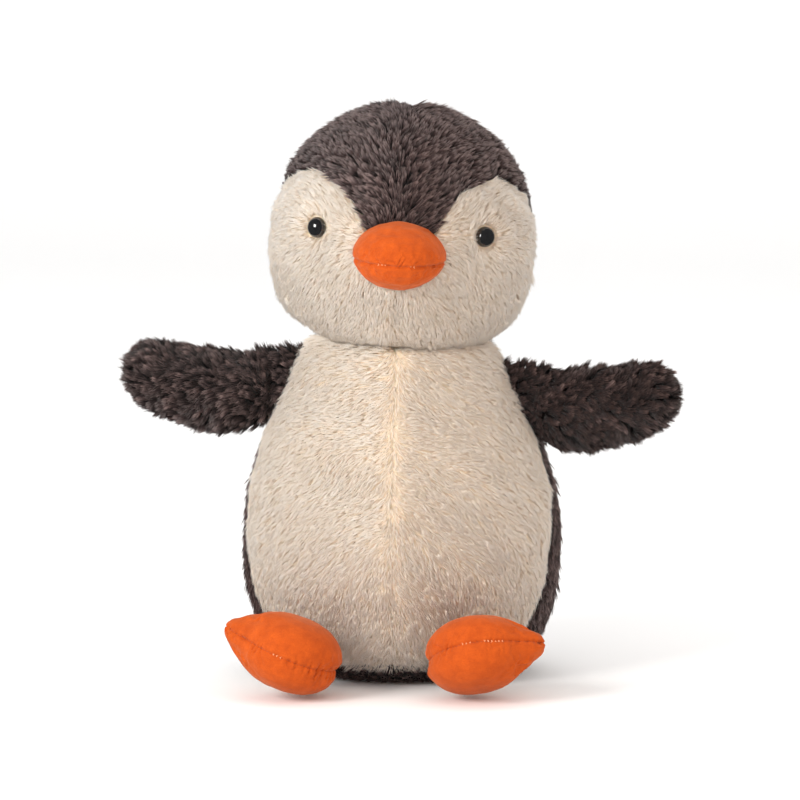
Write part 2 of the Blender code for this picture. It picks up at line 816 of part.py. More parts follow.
def add_heel_pivot(side_name, spec, kit):
    """The heel's hinge, at the height that lets the foot just rest on the floor."""
    side = spec["side"]
    x, y = spec["heel"]
    # The toes lift about the foot's own cross axis, then the foot turns out.
    turned = Euler(
        (-math.radians(spec["toe_up"]), 0.0, side * math.radians(spec["turn_out"])), "XYZ"
    )
    form = mapped_sphere(foot_place(spec), FOOT_SEGMENTS, FOOT_RINGS)
    lowest = min((turned.to_matrix() @ vert.co).z for vert in form.verts)
    form.free()
    place = (side * x, y, FOOT_FLOOR_GAP - lowest)
    return add_pivot(side_name + "_heel_pivot", place, turned, kit["parts"])


def foot_half(spec, facing):
    """The upper (facing 1) or the sole (facing -1): the pad's shell cut at its seam plane."""
    side = spec["side"]
    bm = mapped_sphere(foot_place(spec), FOOT_SEGMENTS, FOOT_RINGS, mirrored=side < 0)
    make_shell(bm, SUEDE_SHELL)
    roll = math.radians(spec["roll"])
    normal = Vector((-side * math.sin(roll), 0.0, math.cos(roll))) * facing
    slice_ring(bm, normal * GAP / 2, normal)
    face_outwards(bm)
    return bm


def build_foot(side_name, spec, kit):
    side = spec["side"]
    pivot = add_heel_pivot(side_name, spec, kit)
    suede = kit["materials"]["orange_suede"]
    for panel, facing in (("upper", 1), ("sole", -1)):
        name = f"foot_{side_name}_{panel}"
        add_object(name, foot_half(spec, facing), kit["parts"], pivot, suede)
    inset = SUEDE_SHELL + FOOT_STUFFING_GAP
    stuffed = foot_place(spec, inset, FOOT_STUFFING_TIP_SHARE)
    bm = mapped_sphere(stuffed, FOOT_SEGMENTS, FOOT_RINGS, mirrored=side < 0)
    name = f"foot_{side_name}_stuffing"
    add_object(name, bm, kit["parts"], pivot, kit["materials"]["stuffing"])


# ---- Whole toy ----------------------------------------------------------------------------------


def main():
    clear_scene()
    kit = {
        "parts": new_collection("plush_penguin"),
        "cutters": new_collection("cutters"),
        "materials": make_materials(),
    }
    build_body(kit)
    build_neck(kit)
    build_head(kit)
    for side_name, spec in WINGS.items():
        build_wing(side_name, spec, kit)
    for side_name, spec in FEET.items():
        build_foot(side_name, spec, kit)


main()
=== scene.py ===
"""Looks of the plush penguin: fur, suede, eyes, stitching and a plain studio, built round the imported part.

Shapes are read off the CAD nodes. Each sewn panel becomes one piece: a thin backing sheet with its pile
as closed tapered hairs. Metres, +Z up; the toy faces -Y and its own left side is at +X.
"""

import json
import math

import bmesh
import bpy
import numpy as np
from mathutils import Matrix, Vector
from mathutils.bvhtree import BVHTree
from mathutils.kdtree import KDTree


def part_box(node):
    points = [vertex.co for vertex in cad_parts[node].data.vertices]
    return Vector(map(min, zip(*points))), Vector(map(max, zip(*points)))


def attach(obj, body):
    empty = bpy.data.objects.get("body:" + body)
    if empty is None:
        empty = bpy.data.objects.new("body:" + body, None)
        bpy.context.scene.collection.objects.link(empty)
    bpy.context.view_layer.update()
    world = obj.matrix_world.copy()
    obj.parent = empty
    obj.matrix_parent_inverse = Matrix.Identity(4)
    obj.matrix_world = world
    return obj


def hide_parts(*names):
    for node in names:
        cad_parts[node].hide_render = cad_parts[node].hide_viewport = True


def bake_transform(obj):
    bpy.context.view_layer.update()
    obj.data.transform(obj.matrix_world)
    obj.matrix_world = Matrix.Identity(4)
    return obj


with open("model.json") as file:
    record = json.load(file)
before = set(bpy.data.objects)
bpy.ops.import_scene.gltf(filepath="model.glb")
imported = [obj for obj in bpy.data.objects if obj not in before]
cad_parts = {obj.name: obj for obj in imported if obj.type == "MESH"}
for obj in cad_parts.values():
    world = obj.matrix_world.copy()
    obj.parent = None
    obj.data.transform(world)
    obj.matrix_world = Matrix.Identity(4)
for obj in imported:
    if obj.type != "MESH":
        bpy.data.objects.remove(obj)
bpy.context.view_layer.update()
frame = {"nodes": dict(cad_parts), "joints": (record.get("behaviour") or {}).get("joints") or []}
NODES = frame["nodes"]
JOINTS = {joint["name"]: joint for joint in frame["joints"]}

# ---- Sizes ----

UP = np.array((0.0, 0.0, 1.0))
FORWARD = np.array((0.0, -1.0, 0.0))
SIDE = np.array((1.0, 0.0, 0.0))
FLOOR_CLEARANCE = 0.0003

BACKING = 0.0012  # thickness of the cloth that the pile stands on
# The backing takes the pile's root colour, which is painted shade, so gaps between hairs read as the shade
# deep in the pile.
BACKING_ROOT_SHADE_MAP = (0.4, 0.04)  # its tone, and its place near the roots
SPHERE_CUTS = 6
CAST_REACH = 0.30
SEAM_DEPTH = 0.0010
SEAM_WIDTH = 0.0035
SEAM_TRIM = 0.12  # share by which the pile is shorter along a seam

NECK = np.array(JOINTS["head_turn"]["pos_m"])

# Each kind of pile. inset: depth of the backing under the CAD surface. flat: a hair's thickness as
# a share of its width. lock: size of a tuft. gather: how far its hairs close up. mess: spread of
# their directions, in radians. crowd: density. lift and curl: angle off the backing, and how much
# steeper it is at the root. shade: darker below 0.
PILE_FIELDS = ("inset", "length", "width", "flat", "lock", "gather", "mess", "crowd", "lift", "curl", "shade")
PILE_VALUES = {
    "crown": (0.0036, 0.0090, 0.00068, 0.60, 0.0020, 0.46, 0.19, 1.00, 0.48, 0.36, 0.00),
    "back": (0.0042, 0.0090, 0.00074, 0.60, 0.0022, 0.46, 0.22, 0.80, 0.44, 0.36, 0.00),
    "wing": (0.0027, 0.0094, 0.00072, 0.60, 0.0024, 0.52, 0.30, 1.00, 0.50, 0.36, -0.52),
    "base": (0.0020, 0.0055, 0.00080, 0.60, 0.0022, 0.35, 0.28, 0.60, 0.45, 0.30, -0.20),
    "face": (0.0015, 0.0070, 0.00038, 0.50, 0.0030, 0.15, 0.12, 1.50, 0.40, 0.16, 0.00),
    "tummy": (0.0015, 0.0072, 0.00042, 0.50, 0.0032, 0.15, 0.12, 1.20, 0.38, 0.16, 0.00),
}
PILES = {kind: dict(zip(PILE_FIELDS, values)) for kind, values in PILE_VALUES.items()}
HAIR_SIDES = 3
TONE_BY_TUFT = 0.16
TONE_BY_HAIR = 0.10
# Painted shade: the pile is darkened along a seam for the shade in its groove.
SEAM_PAINTED_SHADE = 0.08  # how much darker the pile is along a seam
ROOT_DEPTH = 0.0004  # how far a hair's root is set into its backing


# ---- Arrays and search trees ----


def unit(vectors):
    return vectors / np.maximum(np.linalg.norm(vectors, axis=-1, keepdims=True), 1e-12)


def smooth_step(values, start, end):
    share = np.clip((values - start) / (end - start), 0.0, 1.0)
    return share * share * (3.0 - 2.0 * share)


def mesh_arrays(mesh):
    points = np.empty(len(mesh.vertices) * 3)
    mesh.vertices.foreach_get("co", points)
    mesh.calc_loop_triangles()
    tris = np.empty(len(mesh.loop_triangles) * 3, int)
    mesh.loop_triangles.foreach_get("vertices", tris)
    return points.reshape(-1, 3), tris.reshape(-1, 3)


def joined(parts):
    """Several (points, triangles) pairs as one."""
    points, tris, base = [], [], 0
    for part_points, part_tris in parts:
        points.append(part_points)
        tris.append(part_tris + base)
        base += len(part_points)
    return np.vstack(points), np.vstack(tris)


def tree_of(*parts):
    points, tris = joined(parts)
    return BVHTree.FromPolygons(points.tolist(), tris.tolist())


def node_arrays(name):
    return mesh_arrays(NODES[name].data)


def node_tree(*names):
    return tree_of(*[node_arrays(name) for name in names])


def centre_of(*names):
    corners = [np.array(corner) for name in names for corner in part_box(name)]
    return (np.min(corners, axis=0) + np.max(corners, axis=0)) / 2


def wave(points, size, seed):
    """Smooth noise between about -1 and 1 that changes over this distance."""
    draw = np.random.default_rng(seed)
    total = np.zeros(len(points))
    waves = 6
    for _ in range(waves):
        direction = unit(draw.normal(size=3))
        stretch = draw.uniform(0.7, 1.5)
        total += np.sin(points @ direction * (math.tau / size * stretch) + draw.uniform(0, math.tau))
    return total / math.sqrt(waves)


def edges_of(tris):
    return np.vstack([tris[:, (0, 1)], tris[:, (1, 2)], tris[:, (2, 0)]])


class Form:
    """A closed surface of triangles, held as arrays."""

    def __init__(self, points, tris):
        self.points = points
        self.tris = tris

    def corners(self):
        return self.points[self.tris]

    def face_normals(self):
        """Normals twice as long as each face's area."""
        a, b, c = np.moveaxis(self.corners(), 1, 0)
        return np.cross(b - a, c - a)

    def areas(self):
        return np.linalg.norm(self.face_normals(), axis=1) / 2

    def normals(self):
        flat = self.face_normals()
        total = np.zeros_like(self.points)
        for corner in range(3):
            np.add.at(total, self.tris[:, corner], flat)
        return unit(total)

    def smoothed(self, values, times, strength=0.5):
        """Values at the points, evened out with their neighbours."""
        pairs = edges_of(self.tris)
        count = np.bincount(pairs[:, 0], minlength=len(self.points))
        for _ in range(times):
            total = np.zeros_like(values)
            np.add.at(total, pairs[:, 0], values[pairs[:, 1]])
            mean = total / (count if values.ndim == 1 else count[:, None])
            values = values + (mean - values) * strength
        return values

    def sink(self, depth):
        """Moves the surface inwards by a depth, or by a depth for each point."""
        self.points = self.points - self.normals() * np.reshape(depth, (-1, 1))

    def tree(self):
        return tree_of((self.points, self.tris))


def unit_ball(cuts):
    bm = bmesh.new()
    bmesh.ops.create_icosphere(bm, subdivisions=cuts, radius=1.0)
    mesh = bpy.data.meshes.new("ball")
    bm.to_mesh(mesh)
    bm.free()
    points, tris = mesh_arrays(mesh)
    bpy.data.meshes.remove(mesh)
    return points, tris


def cast_form(centre, tree, smooth=5):
    """The outermost surface of a tree's solids about a centre, as one closed form."""
    ways, tris = unit_ball(SPHERE_CUTS)
    reach = np.empty(len(ways))
    for index, way in enumerate(ways):
        start = Vector(centre + way * CAST_REACH)
        hit = tree.ray_cast(start, Vector(-way), CAST_REACH)
        reach[index] = CAST_REACH - hit[3] if hit[0] is not None else np.nan
    reach[np.isnan(reach)] = np.nanmedian(reach)
    form = Form(ways, tris)
    reach = form.smoothed(reach, smooth)
    form.points = centre + ways * reach[:, None]
    return form


def dome(centre, radius, height, fullness=2.0, rings=8, segments=48):
    """A round cap as arrays. A negative height hangs down, and a high fullness has steep sides."""
    points = [centre + UP * height]
    for ring in range(1, rings + 1):
        share = ring / rings
        for step in range(segments):
            angle = math.tau * step / segments
            around = np.array((math.cos(angle), math.sin(angle), 0.0))
            points.append(centre + around * radius * share + UP * height * (1 - share**fullness))
    tris = []
    for step in range(segments):
        after = (step + 1) % segments
        tris.append((0, 1 + step, 1 + after))
        for ring in range(rings - 1):
            near, far = 1 + ring * segments, 1 + (ring + 1) * segments
            tris.append((near + step, far + step, far + after))
            tris.append((near + step, far + after, near + after))
    return np.array(points), np.array(tris)


def panel_distances(points, trees):
    """Distance from each point to each panel, as one row a point."""
    return np.array([[tree.find_nearest(Vector(p))[3] for tree in trees] for p in points])


def seam_share(distances):
    """1 on a seam between two panels, falling to 0 away from it."""
    ordered = np.sort(distances, axis=1)
    return np.exp(-(((ordered[:, 1] - ordered[:, 0]) / SEAM_WIDTH) ** 2))


# ---- Materials ----


def new_material(name):
    material = bpy.data.materials.new(name)
    material.use_nodes = True
    return material, material.node_tree, material.node_tree.nodes["Principled BSDF"]


def add_node(tree, kind, **values):
    node = tree.nodes.new(kind)
    for key, value in values.items():
        setattr(node, key, value)
    return node


def set_inputs(node, values):
    for key, value in values.items():
        node.inputs[key].default_value = value


def add_ramp(tree, source, stops):
    """A colour ramp fed by a socket, from (place, colour) stops."""
    ramp = add_node(tree, "ShaderNodeValToRGB")
    elements = ramp.color_ramp.elements
    while len(elements) < len(stops):
        elements.new(0.5)
    for element, (place, colour) in zip(elements, stops):
        element.position = place
        element.color = (*colour, 1.0)
    tree.links.new(source, ramp.inputs["Fac"])
    return ramp.outputs["Color"]


def add_noise(tree, scale, detail=2.0, roughness=0.5):
    place = add_node(tree, "ShaderNodeTexCoord")
    noise = add_node(tree, "ShaderNodeTexNoise")
    set_inputs(noise, {"Scale": scale, "Detail": detail, "Roughness": roughness})
    tree.links.new(place.outputs["Object"], noise.inputs["Vector"])
    return noise.outputs["Fac"]


def add_multiply(tree, first, second, factor=1.0):
    mix = add_node(tree, "ShaderNodeMix", data_type="RGBA", blend_type="MULTIPLY")
    mix.inputs[0].default_value = factor
    tree.links.new(first, mix.inputs[6])
    tree.links.new(second, mix.inputs[7])
    return mix.outputs[2]


def add_bump(tree, shader, height, distance, strength=1.0):
    bump = add_node(tree, "ShaderNodeBump")
    set_inputs(bump, {"Strength": strength, "Distance": distance})
    tree.links.new(height, bump.inputs["Height"])
    tree.links.new(bump.outputs["Normal"], shader.inputs["Normal"])


def fur_material(name, root_shade_to_tip, tones, sheen, glow=0.0):
    """Pile coloured from root to tip by the map's second axis and from tuft to tuft by its first. Its darker
    roots are painted shade deep in the pile; the lighter tips are the pile's own colour.
    """
    material, tree, shader = new_material(name)
    tuft_map = add_node(tree, "ShaderNodeUVMap", uv_map="OFBake")
    axes = add_node(tree, "ShaderNodeSeparateXYZ")
    tree.links.new(tuft_map.outputs["UV"], axes.inputs["Vector"])
    # root to tip: the roots are darkened as painted shade deep in the pile
    along = add_ramp(tree, axes.outputs["Y"], root_shade_to_tip)
    tone = add_ramp(tree, axes.outputs["X"], tones)
    tree.links.new(add_multiply(tree, along, tone), shader.inputs["Base Color"])
    set_inputs(shader, {"Roughness": 0.85, "Specular IOR Level": 0.25})
    set_inputs(shader, {"Sheen Weight": sheen, "Sheen Roughness": 0.45})
    set_inputs(
        shader,
        {"Subsurface Weight": glow, "Subsurface Radius": (1.0, 0.7, 0.5), "Subsurface Scale": 0.002},
    )
    return material


def suede_material():
    """Brushed orange cloth: a soft mottle, a fine nap and a slight bloom."""
    material, tree, shader = new_material("orange_suede")
    mottle = add_ramp(
        tree,
        add_noise(tree, 160.0, 5.0, 0.62),
        ((0.30, (0.43, 0.064, 0.006)), (0.52, (0.50, 0.078, 0.007)), (0.75, (0.57, 0.094, 0.009))),
    )
    fleck = add_ramp(
        tree,
        add_noise(tree, 1500.0, 3.0, 0.7),
        ((0.25, (0.80, 0.76, 0.72)), (0.7, (1.0, 1.0, 1.0))),
    )
    tree.links.new(add_multiply(tree, mottle, fleck), shader.inputs["Base Color"])
    add_bump(tree, shader, add_noise(tree, 1100.0, 6.0, 0.75), 0.0004, 0.35)
    set_inputs(shader, {"Roughness": 0.92, "Specular IOR Level": 0.2})
    set_inputs(
        shader,
        {"Sheen Weight": 0.22, "Sheen Roughness": 0.4, "Sheen Tint": (1.0, 0.62, 0.38, 1.0)},
    )
    return material


def noisy_material(name, scale, dark, light, roughness, relief=0.0, relief_scale=None):
    """A material with a fine mottle between two colours and, if wanted, a fine relief."""
    material, tree, shader = new_material(name)
    colour = add_ramp(tree, add_noise(tree, scale, 4.0), ((0.3, dark), (0.7, light)))
    tree.links.new(colour, shader.inputs["Base Color"])
    shader.inputs["Roughness"].default_value = roughness
    if relief:
        add_bump(tree, shader, add_noise(tree, relief_scale or scale, 3.0), relief, 0.5)
    return material


def eye_material():
    """Polished black plastic, with a faint mottle in its colour."""
    dark, light = (0.0035, 0.0035, 0.004), (0.009, 0.009, 0.010)
    material = noisy_material("eye_plastic", 300.0, dark, light, 0.06)
    shader = material.node_tree.nodes["Principled BSDF"]
    set_inputs(shader, {"Coat Weight": 1.0, "Coat Roughness": 0.02, "Specular IOR Level": 0.6})
    return material


def ribbon_material():
    """Satin ribbon with a fine woven rib."""
    material, tree, shader = new_material("label_ribbon")
    place = add_node(tree, "ShaderNodeTexCoord")
    rib = add_node(tree, "ShaderNodeTexWave", wave_type="BANDS", bands_direction="Z")
    set_inputs(rib, {"Scale": 900.0, "Distortion": 0.6})
    tree.links.new(place.outputs["Object"], rib.inputs["Vector"])
    stops = ((0.0, (0.66, 0.65, 0.63)), (1.0, (0.86, 0.85, 0.83)))
    tree.links.new(add_ramp(tree, rib.outputs["Fac"], stops), shader.inputs["Base Color"])
    add_bump(tree, shader, rib.outputs["Fac"], 0.0001)
    shader.inputs["Roughness"].default_value = 0.42
    return material


# In both fur ramps the darker roots are painted shade deep in the pile; the lighter tips are the pile's own
# colour.
MATERIALS = {
    "dark_fur": fur_material(
        "dark_fur",
        (
            (0.00, (0.010, 0.007, 0.007)),
            (0.40, (0.026, 0.0165, 0.0165)),
            (0.70, (0.098, 0.063, 0.060)),
            (1.00, (0.500, 0.350, 0.318)),
        ),
        ((0.0, (0.20, 0.185, 0.185)), (0.5, (0.88, 0.86, 0.86)), (1.0, (1.0, 1.0, 1.0))),
        sheen=0.10,
    ),
    "cream_fur": fur_material(
        "cream_fur",
        (
            (0.00, (0.93, 0.76, 0.58)),
            (0.35, (0.95, 0.80, 0.64)),
            (0.70, (0.97, 0.85, 0.71)),
            (1.00, (0.98, 0.88, 0.755)),
        ),
        ((0.0, (0.90, 0.86, 0.80)), (0.5, (0.985, 0.975, 0.96)), (1.0, (1.0, 1.0, 1.0))),
        sheen=0.20,
        glow=0.5,
    ),
    "orange_suede": suede_material(),
    "eye_plastic": eye_material(),
    "washer_plastic": noisy_material(
        "washer_plastic", 400.0, (0.72, 0.72, 0.70), (0.82, 0.82, 0.80), 0.4, 0.0001
    ),
    "stuffing": noisy_material(
        "stuffing", 220.0, (0.68, 0.68, 0.67), (0.88, 0.88, 0.87), 0.95, 0.0008, 500.0
    ),
    "thread": noisy_material("thread", 900.0, (0.70, 0.22, 0.06), (0.95, 0.52, 0.30), 0.7, 0.0001),
    # Seam thread whose dark colour is painted shade: it stands for thread and needle holes lying in the
    # shadow of the seam's groove.
    "seam_thread_shaded": noisy_material(
        "seam_thread_shaded", 900.0, (0.26, 0.045, 0.012), (0.40, 0.08, 0.02), 0.8, 0.0001
    ),
    "label_ribbon": ribbon_material(),
}


# ---- Meshes from arrays ----


def add_object(name, data):
    obj = bpy.data.objects.new(name, data)
    bpy.context.scene.collection.objects.link(obj)
    return obj


def add_piece(name, points, faces, material, map_values=None):
    """A mesh object from arrays. faces is a list of arrays, each with faces of one size."""
    faces = [group for group in faces if len(group)]
    mesh = bpy.data.meshes.new(name)
    mesh.vertices.add(len(points))
    mesh.vertices.foreach_set("co", np.asarray(points, np.float32).ravel())
    loops = np.concatenate([group.ravel() for group in faces]).astype(np.int32)
    sizes = np.concatenate([np.full(len(group), group.shape[1]) for group in faces])
    mesh.loops.add(len(loops))
    mesh.loops.foreach_set("vertex_index", loops)
    mesh.polygons.add(len(sizes))
    starts = np.concatenate([[0], np.cumsum(sizes)[:-1]]).astype(np.int32)
    mesh.polygons.foreach_set("loop_start", starts)
    mesh.update(calc_edges=True)
    mesh.polygons.foreach_set("use_smooth", np.full(len(sizes), True))
    if map_values is not None:
        layer = mesh.uv_layers.new(name="OFBake")
        layer.data.foreach_set("uv", map_values[loops].astype(np.float32).ravel())
    mesh.materials.append(MATERIALS[material])
    mesh.update()
    obj = add_object(name, mesh)
    return obj


def closed_sheet(form, chosen, thickness):
    """The chosen triangles of a form as a sheet with two faces and a rim."""
    tris = form.tris[chosen]
    used, local = np.unique(tris, return_inverse=True)
    tris = local.reshape(-1, 3)
    outer = form.points[used]
    inner = outer - form.normals()[used] * thickness
    count = len(used)
    edges = edges_of(tris)
    keys = edges[:, 0] * count + edges[:, 1]
    back_keys = edges[:, 1] * count + edges[:, 0]
    rim = edges[~np.isin(keys, back_keys)]
    quads = np.column_stack([rim[:, 1], rim[:, 0], rim[:, 0] + count, rim[:, 1] + count])
    faces = [np.vstack([tris, tris[:, ::-1] + count]), quads]
    return np.vstack([outer, inner]), faces


# ---- Pile ----


def scatter(form, count, crowd, draw):
    """Spread points on a form, as dense as crowd says for each triangle: their places and normals."""
    reach = np.cumsum(form.areas() * crowd)
    picks = (np.arange(count) + draw.uniform(0, 1, count)) / count * reach[-1]
    chosen = np.minimum(np.searchsorted(reach, picks), len(reach) - 1)
    first = np.sqrt(draw.uniform(0, 1, count))
    second = draw.uniform(0, 1, count)
    weights = np.column_stack([1 - first, first * (1 - second), first * second])[:, :, None]
    corners = form.tris[chosen]
    places = (form.points[corners] * weights).sum(axis=1)
    normals = unit((form.normals()[corners] * weights).sum(axis=1))
    return places, normals


def flat_to(vectors, normals):
    """Vectors laid along the surface, at unit length."""
    return unit(vectors - (vectors * normals).sum(axis=1, keepdims=True) * normals)


def turned(vectors, normals, angles):
    """Vectors on the surface turned about the normals."""
    across = np.cross(normals, vectors)
    return vectors * np.cos(angles)[:, None] + across * np.sin(angles)[:, None]


def lock_of(places, size, area, draw):
    """For each strand the number of its lock's leader, one of the strands."""
    wanted = max(int(area / size**2), 1)
    leaders = draw.permutation(len(places))[:wanted]
    tree = KDTree(len(leaders))
    for leader in leaders:
        tree.insert(Vector(places[leader]), int(leader))
    tree.balance()
    return np.array([tree.find(Vector(p))[1] for p in places])


def comb_strands(places, normals, comb, pile, area, draw, shorten):
    """Middle, tip and tone of each strand. comb gives the pile's lie and what it adds to the lift."""
    way, bristle = comb
    leader = lock_of(places, pile["lock"], area, draw)
    count = len(places)
    mess = pile["mess"]
    lock_turn = draw.normal(0, mess, count)[leader]
    lock_lift = draw.normal(0, mess * 0.35, count)[leader]
    lock_length = draw.normal(1, 0.10, count)[leader]
    way = turned(flat_to(way, normals), normals, lock_turn + draw.normal(0, mess * 0.5, count))
    lift = np.clip(pile["lift"] + bristle + lock_lift + draw.normal(0, 0.07, count), 0.15, 1.45)
    length = pile["length"] * lock_length * draw.uniform(0.82, 1.12, count) * shorten

    def reach(angle, share):
        angle = angle[:, None]
        return (way * np.cos(angle) + normals * np.sin(angle)) * (length * share)[:, None]

    middle = reach(np.minimum(lift + pile["curl"], 1.5), 0.48)
    tip = middle + reach(np.maximum(lift - pile["curl"] * 0.7, 0.05), 0.55)
    lead_middle = places[leader] + middle[leader]
    lead_tip = places[leader] + tip[leader]
    middle = places + middle
    tip = places + tip
    gather = pile["gather"] * draw.uniform(0.7, 1.15, count)[:, None]
    tip = tip + (lead_tip - tip) * gather
    middle = middle + (lead_middle - middle) * gather * 0.45
    tone = 0.5 + pile["shade"]
    tone = tone + draw.normal(0, TONE_BY_TUFT, count)[leader] + draw.normal(0, TONE_BY_HAIR, count)
    return middle, tip, tone


def strand_arrays(roots, middles, tips, normals, width, flat, draw):
    """Closed three-sided hairs, pointed at both ends, widest in the middle and flat to the surface."""
    count = len(roots)
    axis = unit(tips - roots)
    across = unit(np.cross(axis, normals) + 1e-9)
    other = np.cross(axis, across)
    width = width * draw.uniform(0.8, 1.2, count)[:, None]
    points = np.empty((count, HAIR_SIDES + 2, 3))
    points[:, 0] = roots
    for side in range(HAIR_SIDES):
        angle = math.tau * side / HAIR_SIDES
        section = across * math.cos(angle) + other * (math.sin(angle) * flat)
        points[:, 1 + side] = middles + section * width / 2
    points[:, -1] = tips
    base = (np.arange(count) * (HAIR_SIDES + 2))[:, None]
    tris = []
    for side in range(HAIR_SIDES):
        this, after = 1 + side, 1 + (side + 1) % HAIR_SIDES
        tris.append(base + np.array((this, after, HAIR_SIDES + 1)))
        tris.append(base + np.array((after, this, 0)))
    return points.reshape(-1, 3), np.stack(tris, axis=1).reshape(-1, 3)


def strand_map(tone):
    """Map values for strand_arrays' points: the tuft's tone, and 0 at the root to 1 at the tip."""
    along = np.array([0.0] + [0.5] * HAIR_SIDES + [1.0])
    values = np.empty((len(tone), HAIR_SIDES + 2, 2))
    values[:, :, 0] = np.clip(tone, 0.02, 0.98)[:, None]
    values[:, :, 1] = along * 0.96 + 0.02
    return values.reshape(-1, 2)


DRAPE_GAP = 0.0007
DRAPE_RISE = 0.0004
DRAPE_LEAST = 0.001


def drape(roots, middles, tips, tree):
    """Lays strands that would run into a firm piece over its surface instead."""
    for index in range(len(roots)):
        way = Vector(tips[index] - roots[index])
        hit = tree.ray_cast(Vector(roots[index]), way.normalized(), way.length)
        if hit[0] is None:
            continue
        normal = np.array(hit[1])
        if normal @ np.array(way) > 0:
            continue
        left = way.length - hit[3]
        along = np.array(way.normalized())
        along = unit(along - (along @ normal) * normal)
        middles[index] = np.array(hit[0]) + normal * DRAPE_GAP
        tips[index] = middles[index] + along * max(left, DRAPE_LEAST) + normal * DRAPE_RISE
    return middles, tips


def drape_near(fur, near, tree):
    """Drapes the chosen strands of a fur over a firm piece."""
    fur["middle"][near], fur["tip"][near] = drape(
        fur["root"][near], fur["middle"][near], fur["tip"][near], tree
    )


def fur_pieces(form, panels, owner_of_face, fur, stand_for):
    """One piece for each panel: its backing and its strands."""
    pieces = []
    for index, panel in enumerate(panels):
        mine = fur["panel"] == index
        sheet, sheet_faces = closed_sheet(form, owner_of_face == index, BACKING)
        strands, tris = strand_arrays(
            fur["root"][mine],
            fur["middle"][mine],
            fur["tip"][mine],
            fur["normal"][mine],
            fur["width"][mine][:, None],
            fur["flat"][mine][:, None],
            np.random.default_rng(900 + index),
        )
        strands[:, 2] = np.maximum(strands[:, 2], FLOOR_CLEARANCE)
        points = np.vstack([sheet, strands])
        values = np.vstack([np.full((len(sheet), 2), BACKING_ROOT_SHADE_MAP), strand_map(fur["tone"][mine])])
        colour = "cream_fur" if panel.startswith(("tummy", "face")) else "dark_fur"
        piece = add_piece(panel + "_fur", points, sheet_faces + [tris + len(sheet)], colour, values)
        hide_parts(panel, *stand_for.get(panel, ()))
        pieces.append(piece)
    return pieces


# ---- Head and body forms ----

EYES = {"left": centre_of("eye_left"), "right": centre_of("eye_right")}
BEAK_CENTRE = centre_of("beak_upper", "beak_lower")
BEAK_ROOT = BEAK_CENTRE - FORWARD * 0.012
TUMMY_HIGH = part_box("tummy_left")[1]
CROWN_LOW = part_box("head_crown_left")[0]
HEAD_MIDDLE = centre_of("head_crown_left", "head_crown_right")
BODY_MIDDLE = centre_of("back_left", "back_right", "tummy_left", "tummy_right")

HEAD_PANELS = ("head_crown_left", "head_crown_right", "face_left", "face_right")
HEAD_KINDS = ("crown", "crown", "face", "face")
BODY_PANELS = ("tummy_left", "tummy_right", "back_left", "back_right", "base_gusset")
BODY_KINDS = ("tummy", "tummy", "back", "back", "base")
HEAD_STRANDS = 115000
BODY_STRANDS = 130000
BEAK_PILE_REACH = 0.050
BEAK_EDGE = 0.0025  # how far under the beak's rim the pile still grows
NECK_RIM = np.array((-0.0020, 0.0, CROWN_LOW.z + 0.0045))
NECK_RIM_RADIUS = 0.0622
NECK_RIM_SLOPE = 0.066  # the head leans, so its opening is lower on the penguin's left
NECK_RIM_DROP = -0.014
NECK_TOP_RADIUS = 0.0520
NECK_TOP_RISE = 0.010
NECK_OVERLAP = 0.004  # no pile grows this deep inside the head or the body
EYE_SOCKET_SIZE = 0.009
EYE_SOCKET_DEPTH = 0.0022
EYE_BARE_SIZE = 0.0055  # radius round an eye with no pile
INSET_BLEND = 0.002
FEET_TOP = 0.075
FEET_BACK = -0.03


def head_form():
    points, tris = dome(NECK_RIM, NECK_RIM_RADIUS, NECK_RIM_DROP, fullness=5.0)
    points[:, 2] -= (points[:, 0] - NECK_RIM[0]) * NECK_RIM_SLOPE
    tree = tree_of(*[node_arrays(name) for name in HEAD_PANELS], (points, tris))
    return cast_form(HEAD_MIDDLE, tree, smooth=6)


def body_form():
    top = dome(np.array((0.0, 0.0, TUMMY_HIGH.z - 0.002)), NECK_TOP_RADIUS, NECK_TOP_RISE)
    tree = tree_of(*[node_arrays(name) for name in BODY_PANELS], top)
    return cast_form(BODY_MIDDLE, tree)


def panel_insets(distances, kinds):
    """Depth of the backing under the CAD surface, evened out between panels."""
    depths = np.array([PILES[kind]["inset"] for kind in kinds])
    weights = np.exp(-distances / INSET_BLEND)
    return (weights * depths).sum(axis=1) / weights.sum(axis=1)


def eye_share(points, size):
    """1 at an eye, falling to 0 away from it."""
    near = np.min([np.linalg.norm(points - eye, axis=1) for eye in EYES.values()], axis=0)
    return np.exp(-((near / size) ** 2))


def sunk_form(form, panels, kinds):
    """Sinks a form to its backing, with valleys along its seams, and says which panel holds each face."""
    trees = [node_tree(panel) for panel in panels]
    distances = panel_distances(form.points, trees)
    depth = panel_insets(distances, kinds) + seam_share(distances) * SEAM_DEPTH
    if "face" in kinds:
        depth = depth + eye_share(form.points, EYE_SOCKET_SIZE) * EYE_SOCKET_DEPTH
    form.sink(depth)
    middles = form.corners().mean(axis=1)
    owner = np.argmin(panel_distances(middles, trees), axis=1)
    return trees, owner


